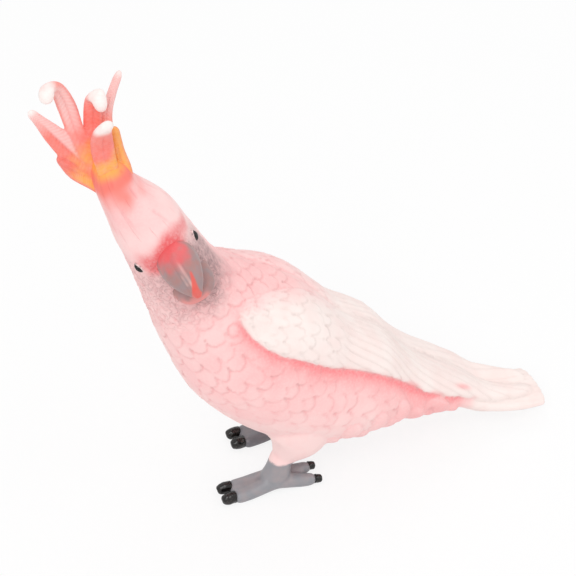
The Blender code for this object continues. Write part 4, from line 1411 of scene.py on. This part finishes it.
class COCKATOO_OT_plumage(bpy.types.Operator):
    """Model the body, wings, tail, legs and feet as one carved skin"""

    bl_idname = "cockatoo.plumage"
    bl_label = "Plumage and feet"

    def execute(self, context):
        sizes, paint = context.scene.cockatoo_sizes, context.scene.cockatoo_paint
        forms = [
            ("trunk", trunk, 96, 200),
            ("left wing", wing(LEFT), 64, 120),
            ("right wing", wing(RIGHT), 64, 120),
        ]
        for hand in (LEFT, RIGHT):
            for at, degrees in LOBES:
                forms.append(("lobe", lobe(hand, at, degrees), 24, 24))
            for name, place in leg_forms(hand, sizes.claw_width):
                if name != "claw":
                    forms.append((name, place, 32, 40))
        skin = fused(draw(forms), sizes.skin_grain)
        points, normals = points_of(skin), normals_of(skin)
        label, along, around = nearest(forms, points)
        rise = np.zeros(len(points))
        marks = {name: np.zeros(len(points)) for name in SKIN_MARKS}
        for index, (name, _, _, _) in enumerate(forms):
            mine = label == index
            if name not in CARVED or not mine.any():
                continue
            rise[mine], found = CARVED[name](points[mine], along[mine], around[mine], sizes)
            for key, values in found.items():
                marks[key][mine] = values
        lobes = np.isin(label, [i for i, form in enumerate(forms) if form[0] == "lobe"])
        marks["rose"][lobes] = 0.35 * ramp(points[lobes, 0], 0.020, 0.045)
        moved(skin, points + normals * rise[:, None])
        deepened(skin, points, label, marks)
        from_face = np.degrees(np.arctan2(np.sin(around), np.cos(around))) + 270
        marks["turn"] = (np.mod(from_face, 360) - 180) / 360
        marks["stroke"] = (label == 0) * ramp(along * CROWN, 10.75, 11.25)
        underside = (1 - ramp(points[:, 2], 0.016, 0.040)) * (1 - ramp(points[:, 0], 0.020, 0.045))
        marks["pale"] = np.maximum(marks["pale"], 0.8 * underside * ~lobes)
        links = pairs(skin)
        for key, values in marks.items():
            if key in SOFTENED:
                values = softened(values, links)
            mark(skin, key, values if key in OPEN else np.clip(values, 0, 1))
        finished(skin, "plumage_and_feet", plumage_material(paint))
        return {"FINISHED"}


class COCKATOO_OT_crest(bpy.types.Operator):
    """Model the raised crest as fused curling feathers"""

    bl_idname = "cockatoo.crest"
    bl_label = "Crest"

    def execute(self, context):
        sizes, paint = context.scene.cockatoo_sizes, context.scene.cockatoo_paint
        forms = [(name, crest_feather(rows), 32, 60) for name, rows in CREST.items()]
        skin = fused(draw(forms), sizes.crest_grain, 10)
        filled(skin, 14)
        points, normals = points_of(skin), normals_of(skin)
        label, along, around = nearest(forms, points)
        across = np.cos(around)
        shaft = (1 - ramp(np.abs(across), 0.0, 0.16)) * (1 - ramp(along, 0.60, 0.85))
        shaft = shaft * ramp(along, 0.25, 0.40)
        moved(skin, points - normals * (SHAFT_DEPTH * shaft)[:, None])
        marks = crest_marks(points, label, along, across, list(CREST))
        links = pairs(skin)
        a, b, _ = links
        parted = (label[a] != label[b]).astype(float)
        seam = np.minimum(np.bincount(a, parted, len(points)) + np.bincount(b, parted, len(points)), 1)
        mark(skin, "barbed", 1 - seam)
        # Painted shade: the crest's central grooves, its creases and the seams between its feathers are
        # painted deeper coral.
        marks["crease"] = np.maximum(np.maximum(0.45 * shaft, 0.25 * recesses(skin)), 0.5 * seam)
        for key, values in marks.items():
            mark(skin, key, np.clip(softened(values, links), 0, 1))
        mark(skin, "barbs", along * 34 + np.abs(across) * 1.6)
        finished(skin, "crest_feathers", crest_material(paint))
        return {"FINISHED"}


class COCKATOO_OT_beak(bpy.types.Operator):
    """Model the hooked upper beak over the lower one"""

    bl_idname = "cockatoo.beak"
    bl_label = "Beak"

    def execute(self, context):
        paint = context.scene.cockatoo_paint
        forms = [("upper", beak_half(UPPER_BEAK), 40, 60), ("lower", beak_half(LOWER_BEAK), 40, 40)]
        skin = fused(draw(forms), BEAK_GRAIN)
        points, normals = points_of(skin), normals_of(skin)
        label, _, _ = nearest(forms, points)
        upper = label == 0
        from_cere = points - skin_point(*CERE)
        side, out = from_cere @ HEAD_SIDE, from_cere @ HEAD_OUT
        keel = upper * (1 - ramp(np.abs(side), 0.0003, 0.0012)) * ramp(out, 0.001, 0.004)
        marks = beak_marks(points, upper)
        moved(skin, points + normals * (KEEL_RISE * keel)[:, None])
        # Painted shade: the beak's creases are painted darker grey.
        marks["crease"] = recesses(skin)
        for key, values in marks.items():
            mark(skin, key, np.clip(values, 0, 1))
        finished(skin, "beak", beak_material(paint))
        return {"FINISHED"}


class COCKATOO_OT_eyes(bpy.types.Operator):
    """Model the two almond-shaped eyes and the thin lids round them"""

    bl_idname = "cockatoo.eyes"
    bl_label = "Eyes and lids"

    def execute(self, context):
        sizes, paint = context.scene.cockatoo_sizes, context.scene.cockatoo_paint
        eyes, lids = [], []
        for at, degrees in EYES:
            width, height = sizes.eye_width, sizes.eye_height
            eyes.append(("eye", eye_ball(at, degrees, width, height, EYE_RISE), 32, 20))
            width, height = width + LID_LENGTH_OVER, height + LID_HEIGHT_OVER
            lids.append(("lid", eye_ball(at, degrees, width, height, LID_RISE), 32, 20))
        finished(draw(eyes), "eyes", black_material(paint))
        finished(draw(lids), "eyelids", lid_material(paint))
        return {"FINISHED"}


class COCKATOO_OT_claws(bpy.types.Operator):
    """Model the eight glossy claws"""

    bl_idname = "cockatoo.claws"
    bl_label = "Claws"

    def execute(self, context):
        sizes, paint = context.scene.cockatoo_sizes, context.scene.cockatoo_paint
        forms = []
        for hand in (LEFT, RIGHT):
            for name, place in leg_forms(hand, sizes.claw_width):
                if name == "claw":
                    forms.append((name, place, 32, 40))
        claws = draw(forms)
        points, normals = points_of(claws), normals_of(claws)
        moved(claws, points + normals * (BRUSH_RELIEF * waver(points, 0.0009, 15))[:, None])
        finished(claws, "claws", black_material(paint))
        return {"FINISHED"}


class COCKATOO_OT_stage(bpy.types.Operator):
    """Make the pale floor, the soft lights and the camera"""

    bl_idname = "cockatoo.stage"
    bl_label = "Stage"

    def execute(self, context):
        scene = context.scene
        paint = scene.cockatoo_paint
        scene.view_settings.view_transform = "Standard"
        bm = bmesh.new()
        bmesh.ops.create_grid(bm, x_segments=1, y_segments=1, size=FLOOR_REACH)
        mesh = bpy.data.meshes.new("floor")
        bm.to_mesh(mesh)
        bm.free()
        floor = bpy.data.objects.new("floor", mesh)
        scene.collection.objects.link(floor)
        mesh.materials.append(floor_material(paint))
        scene.world = studio_world()
        for lamp in LAMPS:
            add_lamp(*lamp)
        scene.camera = photograph_camera()
        return {"FINISHED"}


OPERATORS = (
    COCKATOO_OT_plumage,
    COCKATOO_OT_crest,
    COCKATOO_OT_beak,
    COCKATOO_OT_eyes,
    COCKATOO_OT_claws,
    COCKATOO_OT_stage,
)


class COCKATOO_PT_panel(bpy.types.Panel):
    """Lists the sizes, the paints and a button for each piece"""

    bl_label = "Cockatoo figurine"
    bl_idname = "COCKATOO_PT_panel"
    bl_space_type = "VIEW_3D"
    bl_region_type = "UI"
    bl_category = "Cockatoo"

    def draw(self, context):
        scene = context.scene
        for group in (scene.cockatoo_sizes, scene.cockatoo_paint):
            box = self.layout.box()
            for name in group.__annotations__:
                box.prop(group, name)
        for operator in OPERATORS:
            self.layout.operator(operator.bl_idname)


CLASSES = (CockatooSizes, CockatooPaint, *OPERATORS, COCKATOO_PT_panel)


def register():
    """Adds the classes and the scene's settings."""
    for made in CLASSES:
        bpy.utils.register_class(made)
    bpy.types.Scene.cockatoo_sizes = PointerProperty(type=CockatooSizes)
    bpy.types.Scene.cockatoo_paint = PointerProperty(type=CockatooPaint)


def unregister():
    """Takes the settings and the classes away again."""
    del bpy.types.Scene.cockatoo_paint
    del bpy.types.Scene.cockatoo_sizes
    for made in reversed(CLASSES):
        bpy.utils.unregister_class(made)


def main():
    """Builds every piece and the stage."""
    register()
    bpy.ops.cockatoo.plumage()
    bpy.ops.cockatoo.crest()
    bpy.ops.cockatoo.beak()
    bpy.ops.cockatoo.eyes()
    bpy.ops.cockatoo.claws()
    bpy.ops.cockatoo.stage()


if __name__ == "__main__":
    main()
